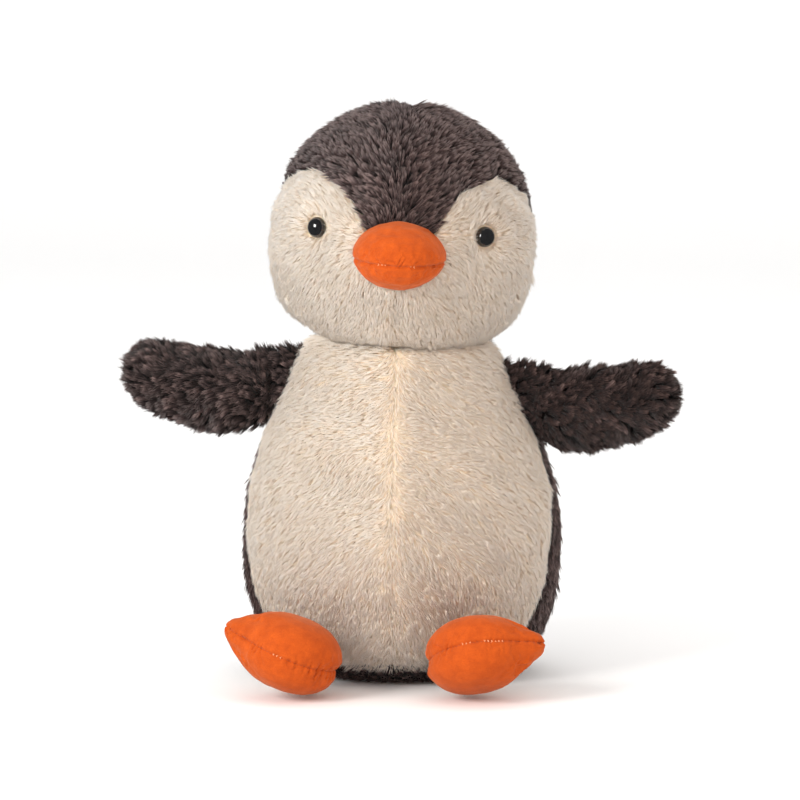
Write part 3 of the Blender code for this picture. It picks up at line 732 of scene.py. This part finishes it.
def head_comb(places, normals, panel):
    """Pile swept away from the beak over the crown, and from the eyes and the beak on the face."""
    from_beak = places - BEAK_ROOT
    outward = np.tanh(places[:, :1] / 0.012) * SIDE
    crown = unit(from_beak) + UP * 0.25 * (places[:, 1:2] < 0.03) + outward * 0.85
    face = unit(from_beak) + UP * -0.30
    for eye in EYES.values():
        away = places - eye
        near = np.linalg.norm(away, axis=1, keepdims=True)
        face = face + unit(away) * 1.6 * np.exp(-((near / 0.016) ** 2))
    below = smooth_step(HEAD_MIDDLE[2] - 0.004 - places[:, 2:3], 0.0, 0.03)
    face = face * (1 - below * 0.6) + (UP * -1.0 + outward * 0.35) * below
    way = np.where((panel >= 2)[:, None], face, crown)
    way = flat_to(way, normals)
    bend = wave(places, 0.035, 11) * np.where(panel >= 2, 0.16, 0.28)
    return turned(way, normals, bend), wave(places, 0.02, 12) * 0.06


def body_comb(places, normals, panel):
    """Pile swept down and away from the middle of the tummy, and down the back."""
    outward = np.tanh(places[:, :1] / 0.004) * SIDE
    lower = smooth_step(BODY_MIDDLE[2] - places[:, 2:3], -0.02, 0.06)
    tummy = outward * (0.95 - 0.55 * lower) - UP * (0.55 + 0.55 * lower)
    back = -UP + outward * 0.15
    level = places - BODY_MIDDLE
    level[:, 2] = 0.0
    way = np.where((panel < 2)[:, None], tummy, back)
    way = np.where((panel == 4)[:, None], unit(level), way)
    way = flat_to(way, normals)
    bend = wave(places, 0.045, 21) * 0.24
    return turned(way, normals, bend), wave(places, 0.025, 22) * 0.06


def grow(form, panels, kinds, trees, owner, comb_of, count, keep, seed):
    """The whole fur of a form: strands with their panel, shape and tone."""
    draw = np.random.default_rng(seed)
    crowds = np.array([PILES[kind]["crowd"] for kind in kinds])
    places, normals = scatter(form, count, crowds[owner], draw)
    per_strand = (form.areas() * crowds[owner]).sum() / count
    kept = keep(places)
    places, normals = places[kept], normals[kept]
    distances = panel_distances(places, trees)
    panel = np.argmin(distances, axis=1)
    way, lift = comb_of(places, normals, panel)
    shorten = 1.0 - SEAM_TRIM * seam_share(distances)
    fur = {"root": places - normals * ROOT_DEPTH, "normal": normals, "panel": panel}
    fur.update({key: np.empty_like(places) for key in ("middle", "tip")})
    fur.update({key: np.empty(len(places)) for key in ("tone", "width", "flat")})
    for index, kind in enumerate(kinds):
        mine = panel == index
        pile = PILES[kind]
        if not mine.any():
            continue
        fur["middle"][mine], fur["tip"][mine], fur["tone"][mine] = comb_strands(
            places[mine],
            normals[mine],
            (way[mine], lift[mine]),
            pile,
            per_strand / pile["crowd"] * mine.sum(),
            draw,
            shorten[mine],
        )
        fur["width"][mine], fur["flat"][mine] = pile["width"], pile["flat"]
    tone = fur["tone"] + wave(places, 0.030, seed + 1) * 0.06
    # painted shade along the seams, where the pile parts into the groove
    fur["tone"] = tone - seam_share(distances) * SEAM_PAINTED_SHADE
    return fur


def build_head(body_tree, beak_tree):
    form = head_form()
    trees, owner = sunk_form(form, HEAD_PANELS, HEAD_KINDS)

    def keep(places):
        inside = np.array([deep_inside(p, body_tree, NECK_OVERLAP) for p in places])
        eyes = eye_share(places, EYE_BARE_SIZE) > math.exp(-1.0)
        under_beak = np.array([deep_inside(p, beak_tree, BEAK_EDGE) for p in places])
        return ~(inside | eyes | under_beak)

    fur = grow(form, HEAD_PANELS, HEAD_KINDS, trees, owner, head_comb, HEAD_STRANDS, keep, 100)
    near_beak = np.linalg.norm(fur["root"] - BEAK_CENTRE, axis=1) < BEAK_PILE_REACH
    drape_near(fur, near_beak, beak_tree)
    stand_for = {"head_crown_left": ("head_stuffing",)}
    for piece in fur_pieces(form, HEAD_PANELS, owner, fur, stand_for):
        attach(piece, "head")
    return form


def build_body(form, head_tree, feet_tree):
    trees, owner = sunk_form(form, BODY_PANELS, BODY_KINDS)

    def keep(places):
        high = places[:, 2] > TUMMY_HIGH.z - 0.02
        inside = np.zeros(len(places), bool)
        inside[high] = [deep_inside(p, head_tree, NECK_OVERLAP) for p in places[high]]
        return ~inside

    fur = grow(form, BODY_PANELS, BODY_KINDS, trees, owner, body_comb, BODY_STRANDS, keep, 200)
    near_feet = (fur["root"][:, 2] < FEET_TOP) & (fur["root"][:, 1] < FEET_BACK)
    drape_near(fur, near_feet, feet_tree)
    stand_for = {"back_left": ("body_stuffing",), "base_gusset": ("bean_bag", "bean_pellets")}
    for piece in fur_pieces(form, BODY_PANELS, owner, fur, stand_for):
        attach(piece, "torso")


def deep_inside(point, tree, depth):
    """True if the point lies inside a closed form, at least this far from its surface."""
    place, normal, _, distance = tree.find_nearest(Vector(point))
    return (Vector(point) - place).dot(normal) < 0 and distance > depth


# ---- Wings ----

WING_HALF_SIZE = np.array((0.046, 0.0115, 0.0250))  # rough size, to cast in a space where it is round
WING_BURIED = 0.009
WING_LEAST = 0.0018
WING_STRANDS = 21000
WING_ROOT_FLARE = 0.22
WING_TOP_DIP = 0.0030
WING_CAST_SCALE = 20.0
WING_OVERLAP = 0.003  # no pile grows this deep inside the body


class WingFrame:
    """The shoulder's axes: along the wing, through it to its back, and up it."""

    def __init__(self, side_name):
        raising = JOINTS[side_name + "_wing_raise"]
        sweeping = JOINTS[side_name + "_wing_sweep"]
        sign = 1.0 if side_name == "left" else -1.0
        self.pivot = np.array(raising["pos_m"])
        self.reach = np.linalg.norm(self.pivot - np.array(sweeping["pos_m"]))
        self.along = unit(self.pivot - np.array(sweeping["pos_m"]))
        self.through = unit(np.array(raising["axis"])) * -sign
        self.up = unit(np.cross(self.along, self.through)) * sign
        self.axes = np.array((self.along, self.through, self.up))

    def local(self, points):
        return (points - self.pivot) @ self.axes.T

    def world(self, local):
        return self.pivot + local @ self.axes


def wing_form(side_name, wing):
    """The wing's backing, cast in a space stretched so that the wing is nearly round."""
    parts = []
    for part in ("front", "back", "root", "stuffing"):
        points, tris = node_arrays(f"wing_{side_name}_{part}")
        parts.append((wing.local(points), tris))
    cloud = np.vstack([points for points, _ in parts])
    middle = (cloud.min(axis=0) + cloud.max(axis=0)) / 2
    size = WING_HALF_SIZE * WING_CAST_SCALE
    tree = tree_of(*[((points - middle) / size, tris) for points, tris in parts])
    form = cast_form(np.zeros(3), tree)
    local = form.points * size + middle
    along, through, up = local.T
    inset = PILES["wing"]["inset"]
    root = smooth_step(-along, wing.reach * 0.35, wing.reach)
    half_thickness = WING_HALF_SIZE[1] * (1 - 0.72 * root)
    thinned = np.maximum((half_thickness - inset) / half_thickness, WING_LEAST / half_thickness)
    through = through * thinned
    half_height = WING_HALF_SIZE[2]
    up = up * (half_height - inset) / half_height * (1 + WING_ROOT_FLARE * root)
    dip = np.exp(-(((along + 0.004) / 0.022) ** 2)) * smooth_step(up, 0.0, half_height)
    up = up - WING_TOP_DIP * dip
    along = along - inset * smooth_step(along, 0.02, 0.06) - WING_BURIED * smooth_step(root, 0.75, 1.0)
    form.points = wing.world(np.column_stack([along, through, up]))
    if np.linalg.det(wing.axes) < 0:
        form.tris = form.tris[:, ::-1]
    return form


def wing_comb(wing):
    def comb(places, normals, _panel):
        along, _, up = wing.local(places).T
        rise = (up / WING_HALF_SIZE[2])[:, None]
        way = wing.along * 0.75 + wing.up * (rise * 0.9 - 0.12)
        way = flat_to(way, normals)
        bend = wave(places, 0.022, 31) * 0.40
        return turned(way, normals, bend), wave(places, 0.015, 32) * 0.10

    return comb


def build_wing(side_name, body_tree, seed):
    wing = WingFrame(side_name)
    form = wing_form(side_name, wing)
    panels = [f"wing_{side_name}_front", f"wing_{side_name}_back"]
    owner = (wing.local(form.corners().mean(axis=1))[:, 1] > 0).astype(int)
    trees = [node_tree(panel) for panel in panels]

    def keep(places):
        return ~np.array([deep_inside(p, body_tree, WING_OVERLAP) for p in places])

    fur = grow(form, panels, ("wing", "wing"), trees, owner, wing_comb(wing), WING_STRANDS, keep, seed)
    stand_for = {
        panels[0]: (f"wing_{side_name}_root",),
        panels[1]: (f"wing_{side_name}_stuffing",),
    }
    start = wing.world(np.array((-wing.reach + 0.003, 0.0, 0.0)))
    end = wing.world(np.array((0.004, 0.0, 0.0)))
    for piece in fur_pieces(form, panels, owner, fur, stand_for):
        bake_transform(piece)


# ---- Suede beak and feet ----

SUEDE = 0.0012
PUFF_FRAMES = 20
PUFF_CAP = 0.0022  # the furthest that the cloth may move
CLOTH_SETTINGS = {
    "quality": 6,
    "mass": 0.15,
    "tension_stiffness": 12.0,
    "compression_stiffness": 12.0,
    "shear_stiffness": 6.0,
    "bending_stiffness": 0.15,
    "use_pressure": True,
    "uniform_pressure_force": 3.0,
    "vertex_group_shrink": "seam",
    "shrink_min": 0.0,
    "shrink_max": 0.22,
}
GROOVE_DEPTH = 0.0010
GROOVE_WIDTH = 0.0011
PUCKER_DEPTH = 0.0014
PUCKER_REACH = 0.0080
PUCKER_SPACING = 0.0050
FOOT_WAIST_PLACE = 0.0200  # from the tip
FOOT_WAIST_WIDTH = 0.0090
FOOT_WAIST_DEPTH = 0.0012
STITCH_SPACING = 0.0021
STITCH_LENGTH = 0.0012
STITCH_RADIUS = 0.00022
THREAD_RADIUS = STITCH_RADIUS * 0.8
FOOT_CLOSING_REACH = 0.014  # how far the pale closing stitches run
BEAK_CLOSING_REACH = 0.012
CLOSING_SLANTS = (1.05, -1.05)


def seam_plane(first, second):
    """A point on the seam between two nodes and the seam plane's normal, towards the first."""
    points, _ = node_arrays(first)
    tree = node_tree(second)
    near = points[[tree.find_nearest(Vector(p))[3] < 0.0008 for p in points]]
    middle = near.mean(axis=0)
    normal = np.linalg.svd(near - middle)[2][2]
    if (points.mean(axis=0) - middle) @ normal < 0:
        normal = -normal
    return middle, normal


def snap_to_plane(form, middle, normal):
    """Slides the points next to a plane along their edges onto it, so that the seam is clean."""
    off = (form.points - middle) @ normal
    edges = edges_of(form.tris)
    crossing = edges[off[edges[:, 0]] * off[edges[:, 1]] < 0]
    moved = form.points.copy()
    for first, second in crossing:
        near, far = (first, second) if abs(off[first]) < abs(off[second]) else (second, first)
        share = off[near] / (off[near] - off[far])
        moved[near] = form.points[near] + (form.points[far] - form.points[near]) * share
    form.points = moved
    return (form.points - middle) @ normal


def puff(form, seam):
    """Blows the cover up with cloth simulation, its seam drawn tighter than the cloth beside it."""
    mesh = bpy.data.meshes.new("cover")
    mesh.from_pydata(form.points.tolist(), [], form.tris.tolist())
    obj = add_object("cover", mesh)
    group = obj.vertex_groups.new(name="seam")
    for index in np.flatnonzero(seam > 0.02):
        group.add([int(index)], float(seam[index]), "REPLACE")
    cloth = obj.modifiers.new("Cloth", "CLOTH")
    settings = cloth.settings
    for key, value in CLOTH_SETTINGS.items():
        setattr(settings, key, value)
    settings.effector_weights.gravity = 0.0
    cloth.collision_settings.use_collision = False
    scene = bpy.context.scene
    for number in range(1, PUFF_FRAMES + 1):
        scene.frame_set(number)
    evaluated = obj.evaluated_get(bpy.context.evaluated_depsgraph_get())
    blown, _ = mesh_arrays(evaluated.data)
    shift = blown - form.points
    length = np.linalg.norm(shift, axis=1, keepdims=True)
    form.points = form.points + shift * np.minimum(1.0, PUFF_CAP / np.maximum(length, 1e-9))
    bpy.data.objects.remove(obj)
    bpy.data.meshes.remove(mesh)
    scene.frame_set(1)


def angles_about(points, middle, normal):
    """The angle of each point round an axis through the middle."""
    first = unit(np.cross(normal, UP + SIDE * 0.3))
    second = np.cross(normal, first)
    return np.arctan2((points - middle) @ second, (points - middle) @ first)


def seam_loop(form, off, middle, normal):
    """The seam as an even closed run of points on the form, with the surface's normals there."""
    on_seam = np.flatnonzero(np.abs(off) < 1e-7)
    points, normals = form.points[on_seam], form.normals()[on_seam]
    order = np.argsort(angles_about(points, middle, normal))
    points, normals = points[order], normals[order]
    for _ in range(2):
        points = (np.roll(points, 1, axis=0) + points * 2 + np.roll(points, -1, axis=0)) / 4
    points = np.vstack([points, points[:1]])
    normals = np.vstack([normals, normals[:1]])
    run = np.concatenate([[0], np.cumsum(np.linalg.norm(np.diff(points, axis=0), axis=1))])
    count = int(run[-1] / STITCH_SPACING)
    at = np.linspace(0, run[-1], count, endpoint=False)
    places = np.column_stack([np.interp(at, run, points[:, axis]) for axis in range(3)])
    facing = unit(np.column_stack([np.interp(at, run, normals[:, axis]) for axis in range(3)]))
    return places, facing


def thread_run(places, facing, length, slant=0.0):
    """Short rounded threads laid along a run of places, each turned from the run by its slant."""
    ball, tris = unit_ball(2)
    ahead = unit(np.roll(places, -1, axis=0) - np.roll(places, 1, axis=0))
    parts = []
    for place, way, normal in zip(places, ahead, facing):
        across = unit(np.cross(normal, way))
        along = way * math.cos(slant) + across * math.sin(slant)
        aside = np.cross(normal, along)
        axes = np.array((along * length / 2, aside * THREAD_RADIUS, normal * THREAD_RADIUS))
        parts.append((place + ball @ axes, tris))
    return joined(parts)


def sewn_pad(name, lower_name, body, closing_place, closing_reach, shape):
    """A suede pad of two panels with a puckered, stitched seam. shape changes its form first."""
    upper, lower, stuffing = name + "_upper", lower_name, name + "_stuffing"
    tree = node_tree(upper, lower, stuffing)
    form = cast_form(centre_of(upper, lower), tree)
    shape(form)
    middle, normal = seam_plane(upper, lower)
    off = snap_to_plane(form, middle, normal)
    owner = ((form.corners().mean(axis=1) - middle) @ normal < 0).astype(int)
    seam = np.exp(-((off / GROOVE_WIDTH) ** 2))
    puff(form, seam)
    run = angles_about(form.points, middle, normal) * np.linalg.norm(form.points - middle, axis=1)
    phase = run / PUCKER_SPACING * math.tau + wave(form.points, 0.012, 41) * 2.5
    strength = 0.5 + 0.5 * wave(form.points, 0.020, 42)
    pucker = np.exp(-((off / PUCKER_REACH) ** 2)) * np.clip(np.sin(phase), 0, 1) ** 2
    pucker = pucker * np.clip(strength, 0, 1.2)
    form.sink(seam * GROOVE_DEPTH + pucker * PUCKER_DEPTH)
    pieces = []
    for index, (part, node) in enumerate((("upper", upper), ("lower", lower))):
        sheet, faces = closed_sheet(form, owner == index, SUEDE)
        piece = add_piece(f"{name}_{part}", sheet, faces, "orange_suede")
        piece.data.set_sharp_from_angle(angle=math.radians(50))
        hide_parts(node)
        pieces.append(piece)
    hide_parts(stuffing)
    places, facing = seam_loop(form, off, middle, normal)
    # the seam's stitches, darkened as painted shade of the groove
    points, tris = thread_run(places, facing, STITCH_SPACING * 0.8)
    pieces.append(add_piece(f"{name}_stitches", points, [tris], "seam_thread_shaded"))
    near = np.linalg.norm(places - closing_place, axis=1) < closing_reach
    near &= wave(places, 0.018, 43) > -0.1
    lift = facing[near] * STITCH_RADIUS * 0.6
    leaning = [
        thread_run(places[near] + lift, facing[near], STITCH_LENGTH * 1.9, slant) for slant in CLOSING_SLANTS
    ]
    points, tris = joined(leaning)
    pieces.append(add_piece(f"{name}_closing_stitches", points, [tris], "thread"))
    for piece in pieces:
        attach(piece, body)
    return form


def waist_shape(outward):
    """A shaper that draws in a waist between the round of a foot and its drawn out tip."""

    def shape(form):
        tip = form.points[np.argmax(form.points @ outward)]
        away = np.linalg.norm(form.points - tip, axis=1)
        form.sink(np.exp(-(((away - FOOT_WAIST_PLACE) / FOOT_WAIST_WIDTH) ** 2)) * FOOT_WAIST_DEPTH)

    return shape


def build_feet():
    forms = []
    for side_name, outward in (("left", SIDE), ("right", -SIDE)):
        name = "foot_" + side_name
        low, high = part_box(name + "_upper")
        place = np.array(((low.x + high.x) / 2, low.y, high.z - 0.012))
        body = side_name + "_foot"
        shape = waist_shape(outward)
        forms.append(sewn_pad(name, name + "_sole", body, place, FOOT_CLOSING_REACH, shape))
    return forms


def root_beak(form):
    """Runs the beak's back into the face, under the pile."""
    behind = smooth_step(form.points[:, 1] - BEAK_CENTRE[1], 0.004, 0.014)
    form.points[:, 1] += behind * 0.004


def build_beak():
    place = BEAK_CENTRE + FORWARD * 0.015
    return sewn_pad("beak", "beak_lower", "head", place, BEAK_CLOSING_REACH, root_beak)


# ---- Eyes, label and inner pieces ----


def turned_piece(name, profile, place, axis, material, segments=40):
    """A closed form of revolution from (radius, height) points that start and end on the axis."""
    first = unit(np.cross(axis, UP))
    second = np.cross(axis, first)
    points = [place + axis * profile[0][1]]
    for radius, height in profile[1:-1]:
        for step in range(segments):
            angle = math.tau * step / segments
            around = first * math.cos(angle) + second * math.sin(angle)
            points.append(place + around * radius + axis * height)
    points.append(place + axis * profile[-1][1])
    rings = len(profile) - 2
    tris, quads = [], []
    last = len(points) - 1
    for step in range(segments):
        after = (step + 1) % segments
        tris.append((0, 1 + step, 1 + after))
        for ring in range(rings - 1):
            near, far = 1 + ring * segments, 1 + (ring + 1) * segments
            quads.append((near + step, far + step, far + after, near + after))
        end = 1 + (rings - 1) * segments
        tris.append((end + step, last, end + after))
    piece = add_piece(name, np.array(points), [np.array(tris), np.array(quads)], material)
    piece.data.set_sharp_from_angle(angle=math.radians(40))
    return piece


EYE_STEM = 0.0022
EYE_STEPS = 12


def build_eyes():
    for side_name in ("left", "right"):
        points, _ = node_arrays("eye_" + side_name)
        washer, _ = node_arrays("eye_washer_" + side_name)
        middle = points.mean(axis=0)
        axis = unit(middle - washer.mean(axis=0))
        heights = (points - middle) @ axis
        top = heights.max()
        spread = np.linalg.norm(points - middle - heights[:, None] * axis, axis=1)
        radius = spread.max()
        shoulder = heights[spread > radius * 0.98].min()
        rise = top - shoulder
        profile = [(0.0, top)]
        for step in range(1, EYE_STEPS + 1):
            angle = math.pi / 2 * (1 - step / EYE_STEPS)
            profile.append((radius * math.cos(angle) ** 0.9, shoulder + rise * math.sin(angle)))
        profile += [(radius * 0.97, shoulder - 0.0007), (radius * 0.5, shoulder - 0.0010)]
        profile += [(EYE_STEM, shoulder - 0.0012), (EYE_STEM, heights.min()), (0.0, heights.min())]
        piece = turned_piece("eye_" + side_name + "_dome", profile, middle, axis, "eye_plastic")
        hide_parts("eye_" + side_name)
        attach(piece, "head")
        node = NODES["eye_washer_" + side_name]
        node.data.materials.clear()
        node.data.materials.append(MATERIALS["washer_plastic"])


LABEL_ROWS = 14
LABEL_COLUMNS = 10
LABEL_CURL = 0.0012
LABEL_CUP = 0.0006


def build_label():
    """A blank folded ribbon, sewn into the back, with a slight curl."""
    points, _ = node_arrays("care_label")
    middle = points.mean(axis=0)
    _, spans, axes = np.linalg.svd(points - middle)
    length_way, width_way, out_way = axes
    length_way = length_way * np.sign(length_way @ -UP)
    out_way = np.cross(length_way, width_way)
    out_way = out_way * np.sign(out_way @ (middle * (1, 1, 0)))
    local = (points - middle) @ np.array((length_way, width_way, out_way)).T
    half = local.max(axis=0)
    grid = []
    for face in (1, -1):
        for row in range(LABEL_ROWS + 1):
            share = row / LABEL_ROWS
            for column in range(LABEL_COLUMNS + 1):
                across = column / LABEL_COLUMNS * 2 - 1
                curl = LABEL_CURL * math.sin(share * 2.6) * (1 - 0.5 * across) + LABEL_CUP * across**2
                place = middle + length_way * half[0] * (share * 2 - 1) + width_way * half[1] * across
                grid.append(place + out_way * (curl + face * half[2] * 0.8))
    width = LABEL_COLUMNS + 1
    size = width * (LABEL_ROWS + 1)
    quads = []
    for row in range(LABEL_ROWS):
        for column in range(LABEL_COLUMNS):
            corner = row * width + column
            quad = (corner, corner + 1, corner + width + 1, corner + width)
            quads.append(quad)
            quads.append(tuple(size + index for index in reversed(quad)))
    rim = [(0, column) for column in range(LABEL_COLUMNS)]
    rim += [(row, LABEL_COLUMNS) for row in range(LABEL_ROWS)]
    rim += [(LABEL_ROWS, LABEL_COLUMNS - column) for column in range(LABEL_COLUMNS)]
    rim += [(LABEL_ROWS - row, 0) for row in range(LABEL_ROWS)]
    rim = [row * width + column for row, column in rim]
    for here, there in zip(rim, rim[1:] + rim[:1]):
        quads.append((there, here, size + here, size + there))
    faces = np.array(quads)
    points = np.array(grid)
    if np.cross(width_way, length_way) @ out_way < 0:
        faces = faces[:, ::-1]
    piece = add_piece("care_label_ribbon", points, [faces], "label_ribbon")
    piece.data.set_sharp_from_angle(angle=math.radians(50))
    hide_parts("care_label")
    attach(piece, "torso")


def build_neck():
    """The lump of fibre at the neck, hidden by the head and the body."""
    low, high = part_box("neck_stuffing")
    radius = (high.x - low.x) / 2 - 0.003
    ways, tris = unit_ball(5)
    lumps = 1 + wave(ways * 0.03, 0.02, 51)[:, None] * 0.03
    piece = add_piece("neck_fibre", NECK + ways * radius * lumps, [tris], "stuffing")
    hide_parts("neck_stuffing")
    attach(piece, "neck")


# ---- Studio ----

FLOOR_REACH = 20.0
WALL_PLACE = 1.6
WALL_BEND = 0.9
WALL_HEIGHT = 3.2
WALL_STEPS = 16
WORLD_IN_GLOSS = 0.12  # the world's strength in reflections
CAMERA_AZIMUTH = 5.0
CAMERA_ELEVATION = 9.0
CAMERA_DISTANCE = 8.0
VIEW_WIDTH = 0.458
LOOK_AT = Vector((-0.0015, 0.0, 0.1570))


def build_floor():
    """A pale floor that curves up into a pale wall, both clear when seen from their back."""
    profile = [(-FLOOR_REACH, 0.0)]
    for step in range(WALL_STEPS + 1):
        angle = math.pi / 2 * step / WALL_STEPS
        profile.append((WALL_PLACE + WALL_BEND * math.sin(angle), WALL_BEND * (1 - math.cos(angle))))
    profile.append((WALL_PLACE + WALL_BEND, WALL_HEIGHT))
    points = [(x, y, z) for y, z in profile for x in (-FLOOR_REACH, FLOOR_REACH)]
    quads = [(2 * i, 2 * i + 1, 2 * i + 3, 2 * i + 2) for i in range(len(profile) - 1)]
    mesh = bpy.data.meshes.new("studio_floor")
    mesh.from_pydata(points, [], quads)
    mesh.shade_smooth()
    floor = add_object("studio_floor", mesh)
    material, tree, shader = new_material("studio_floor")
    stops = ((0.0, (0.90, 0.90, 0.90)), (1.0, (0.92, 0.92, 0.92)))
    tree.links.new(add_ramp(tree, add_noise(tree, 3.0), stops), shader.inputs["Base Color"])
    set_inputs(shader, {"Roughness": 0.9})
    side = add_node(tree, "ShaderNodeNewGeometry")
    clear = add_node(tree, "ShaderNodeBsdfTransparent")
    mix = add_node(tree, "ShaderNodeMixShader")
    tree.links.new(side.outputs["Backfacing"], mix.inputs["Fac"])
    tree.links.new(shader.outputs["BSDF"], mix.inputs[1])
    tree.links.new(clear.outputs["BSDF"], mix.inputs[2])
    output = next(node for node in tree.nodes if node.type == "OUTPUT_MATERIAL")
    tree.links.new(mix.outputs["Shader"], output.inputs["Surface"])
    mesh.materials.append(material)
    floor.visible_glossy = False


def add_area_light(name, place, size, power, colour=(1.0, 1.0, 1.0), glossy=False):
    light = bpy.data.lights.new(name, "AREA")
    light.shape = "RECTANGLE"
    light.size, light.size_y = size
    light.energy = power
    light.color = colour
    obj = add_object(name, light)
    obj.location = place
    obj.visible_glossy = glossy
    obj.visible_camera = False
    obj.rotation_euler = (LOOK_AT - obj.location).to_track_quat("-Z", "Y").to_euler()


def build_studio():
    scene = bpy.context.scene
    scene.view_settings.view_transform = "Standard"
    world = bpy.data.worlds.new("studio")
    world.use_nodes = True
    tree = world.node_tree
    background = tree.nodes["Background"]
    set_inputs(background, {"Color": (1.0, 1.0, 1.0, 1.0)})
    rays = add_node(tree, "ShaderNodeLightPath")
    strength = add_node(tree, "ShaderNodeMapRange")
    set_inputs(strength, {"To Min": 1.0, "To Max": WORLD_IN_GLOSS})
    tree.links.new(rays.outputs["Is Glossy Ray"], strength.inputs["Value"])
    tree.links.new(strength.outputs["Result"], background.inputs["Strength"])
    scene.world = world
    build_floor()
    add_area_light("key", Vector((-1.1, -1.2, 0.80)), (0.7, 0.7), 22.0, (1.0, 0.98, 0.95), True)
    add_area_light("fill", Vector((1.2, -0.9, 0.6)), (1.0, 1.0), 5.5, (1.0, 0.74, 0.55))
    add_area_light("front", Vector((-0.1, -1.6, 0.60)), (1.0, 0.5), 3.4, (1.0, 0.86, 0.74))
    add_area_light("top", Vector((0.1, 0.5, 1.5)), (1.2, 0.8), 5.0)
    camera = bpy.data.cameras.new("camera")
    camera.lens = camera.sensor_width * CAMERA_DISTANCE / VIEW_WIDTH
    obj = add_object("camera", camera)
    azimuth, elevation = math.radians(CAMERA_AZIMUTH), math.radians(CAMERA_ELEVATION)
    level = Vector((math.sin(azimuth), -math.cos(azimuth), 0.0)) * math.cos(elevation)
    away = level + Vector((0.0, 0.0, math.sin(elevation)))
    obj.location = LOOK_AT + away * CAMERA_DISTANCE
    obj.rotation_euler = (-away).to_track_quat("-Z", "Y").to_euler()
    camera.clip_start, camera.clip_end = 0.01, 50.0
    scene.camera = obj


# ---- Whole toy ----


def build_toy():
    beak_form = build_beak()
    foot_forms = build_feet()
    torso = body_form()
    body_tree = torso.tree()
    head_shape = build_head(body_tree, beak_form.tree())
    feet_tree = tree_of(*[(form.points, form.tris) for form in foot_forms])
    build_body(torso, head_shape.tree(), feet_tree)
    build_wing("left", torso.tree(), 300)
    build_wing("right", torso.tree(), 400)
    build_eyes()
    build_label()
    build_neck()


build_toy()
build_studio()
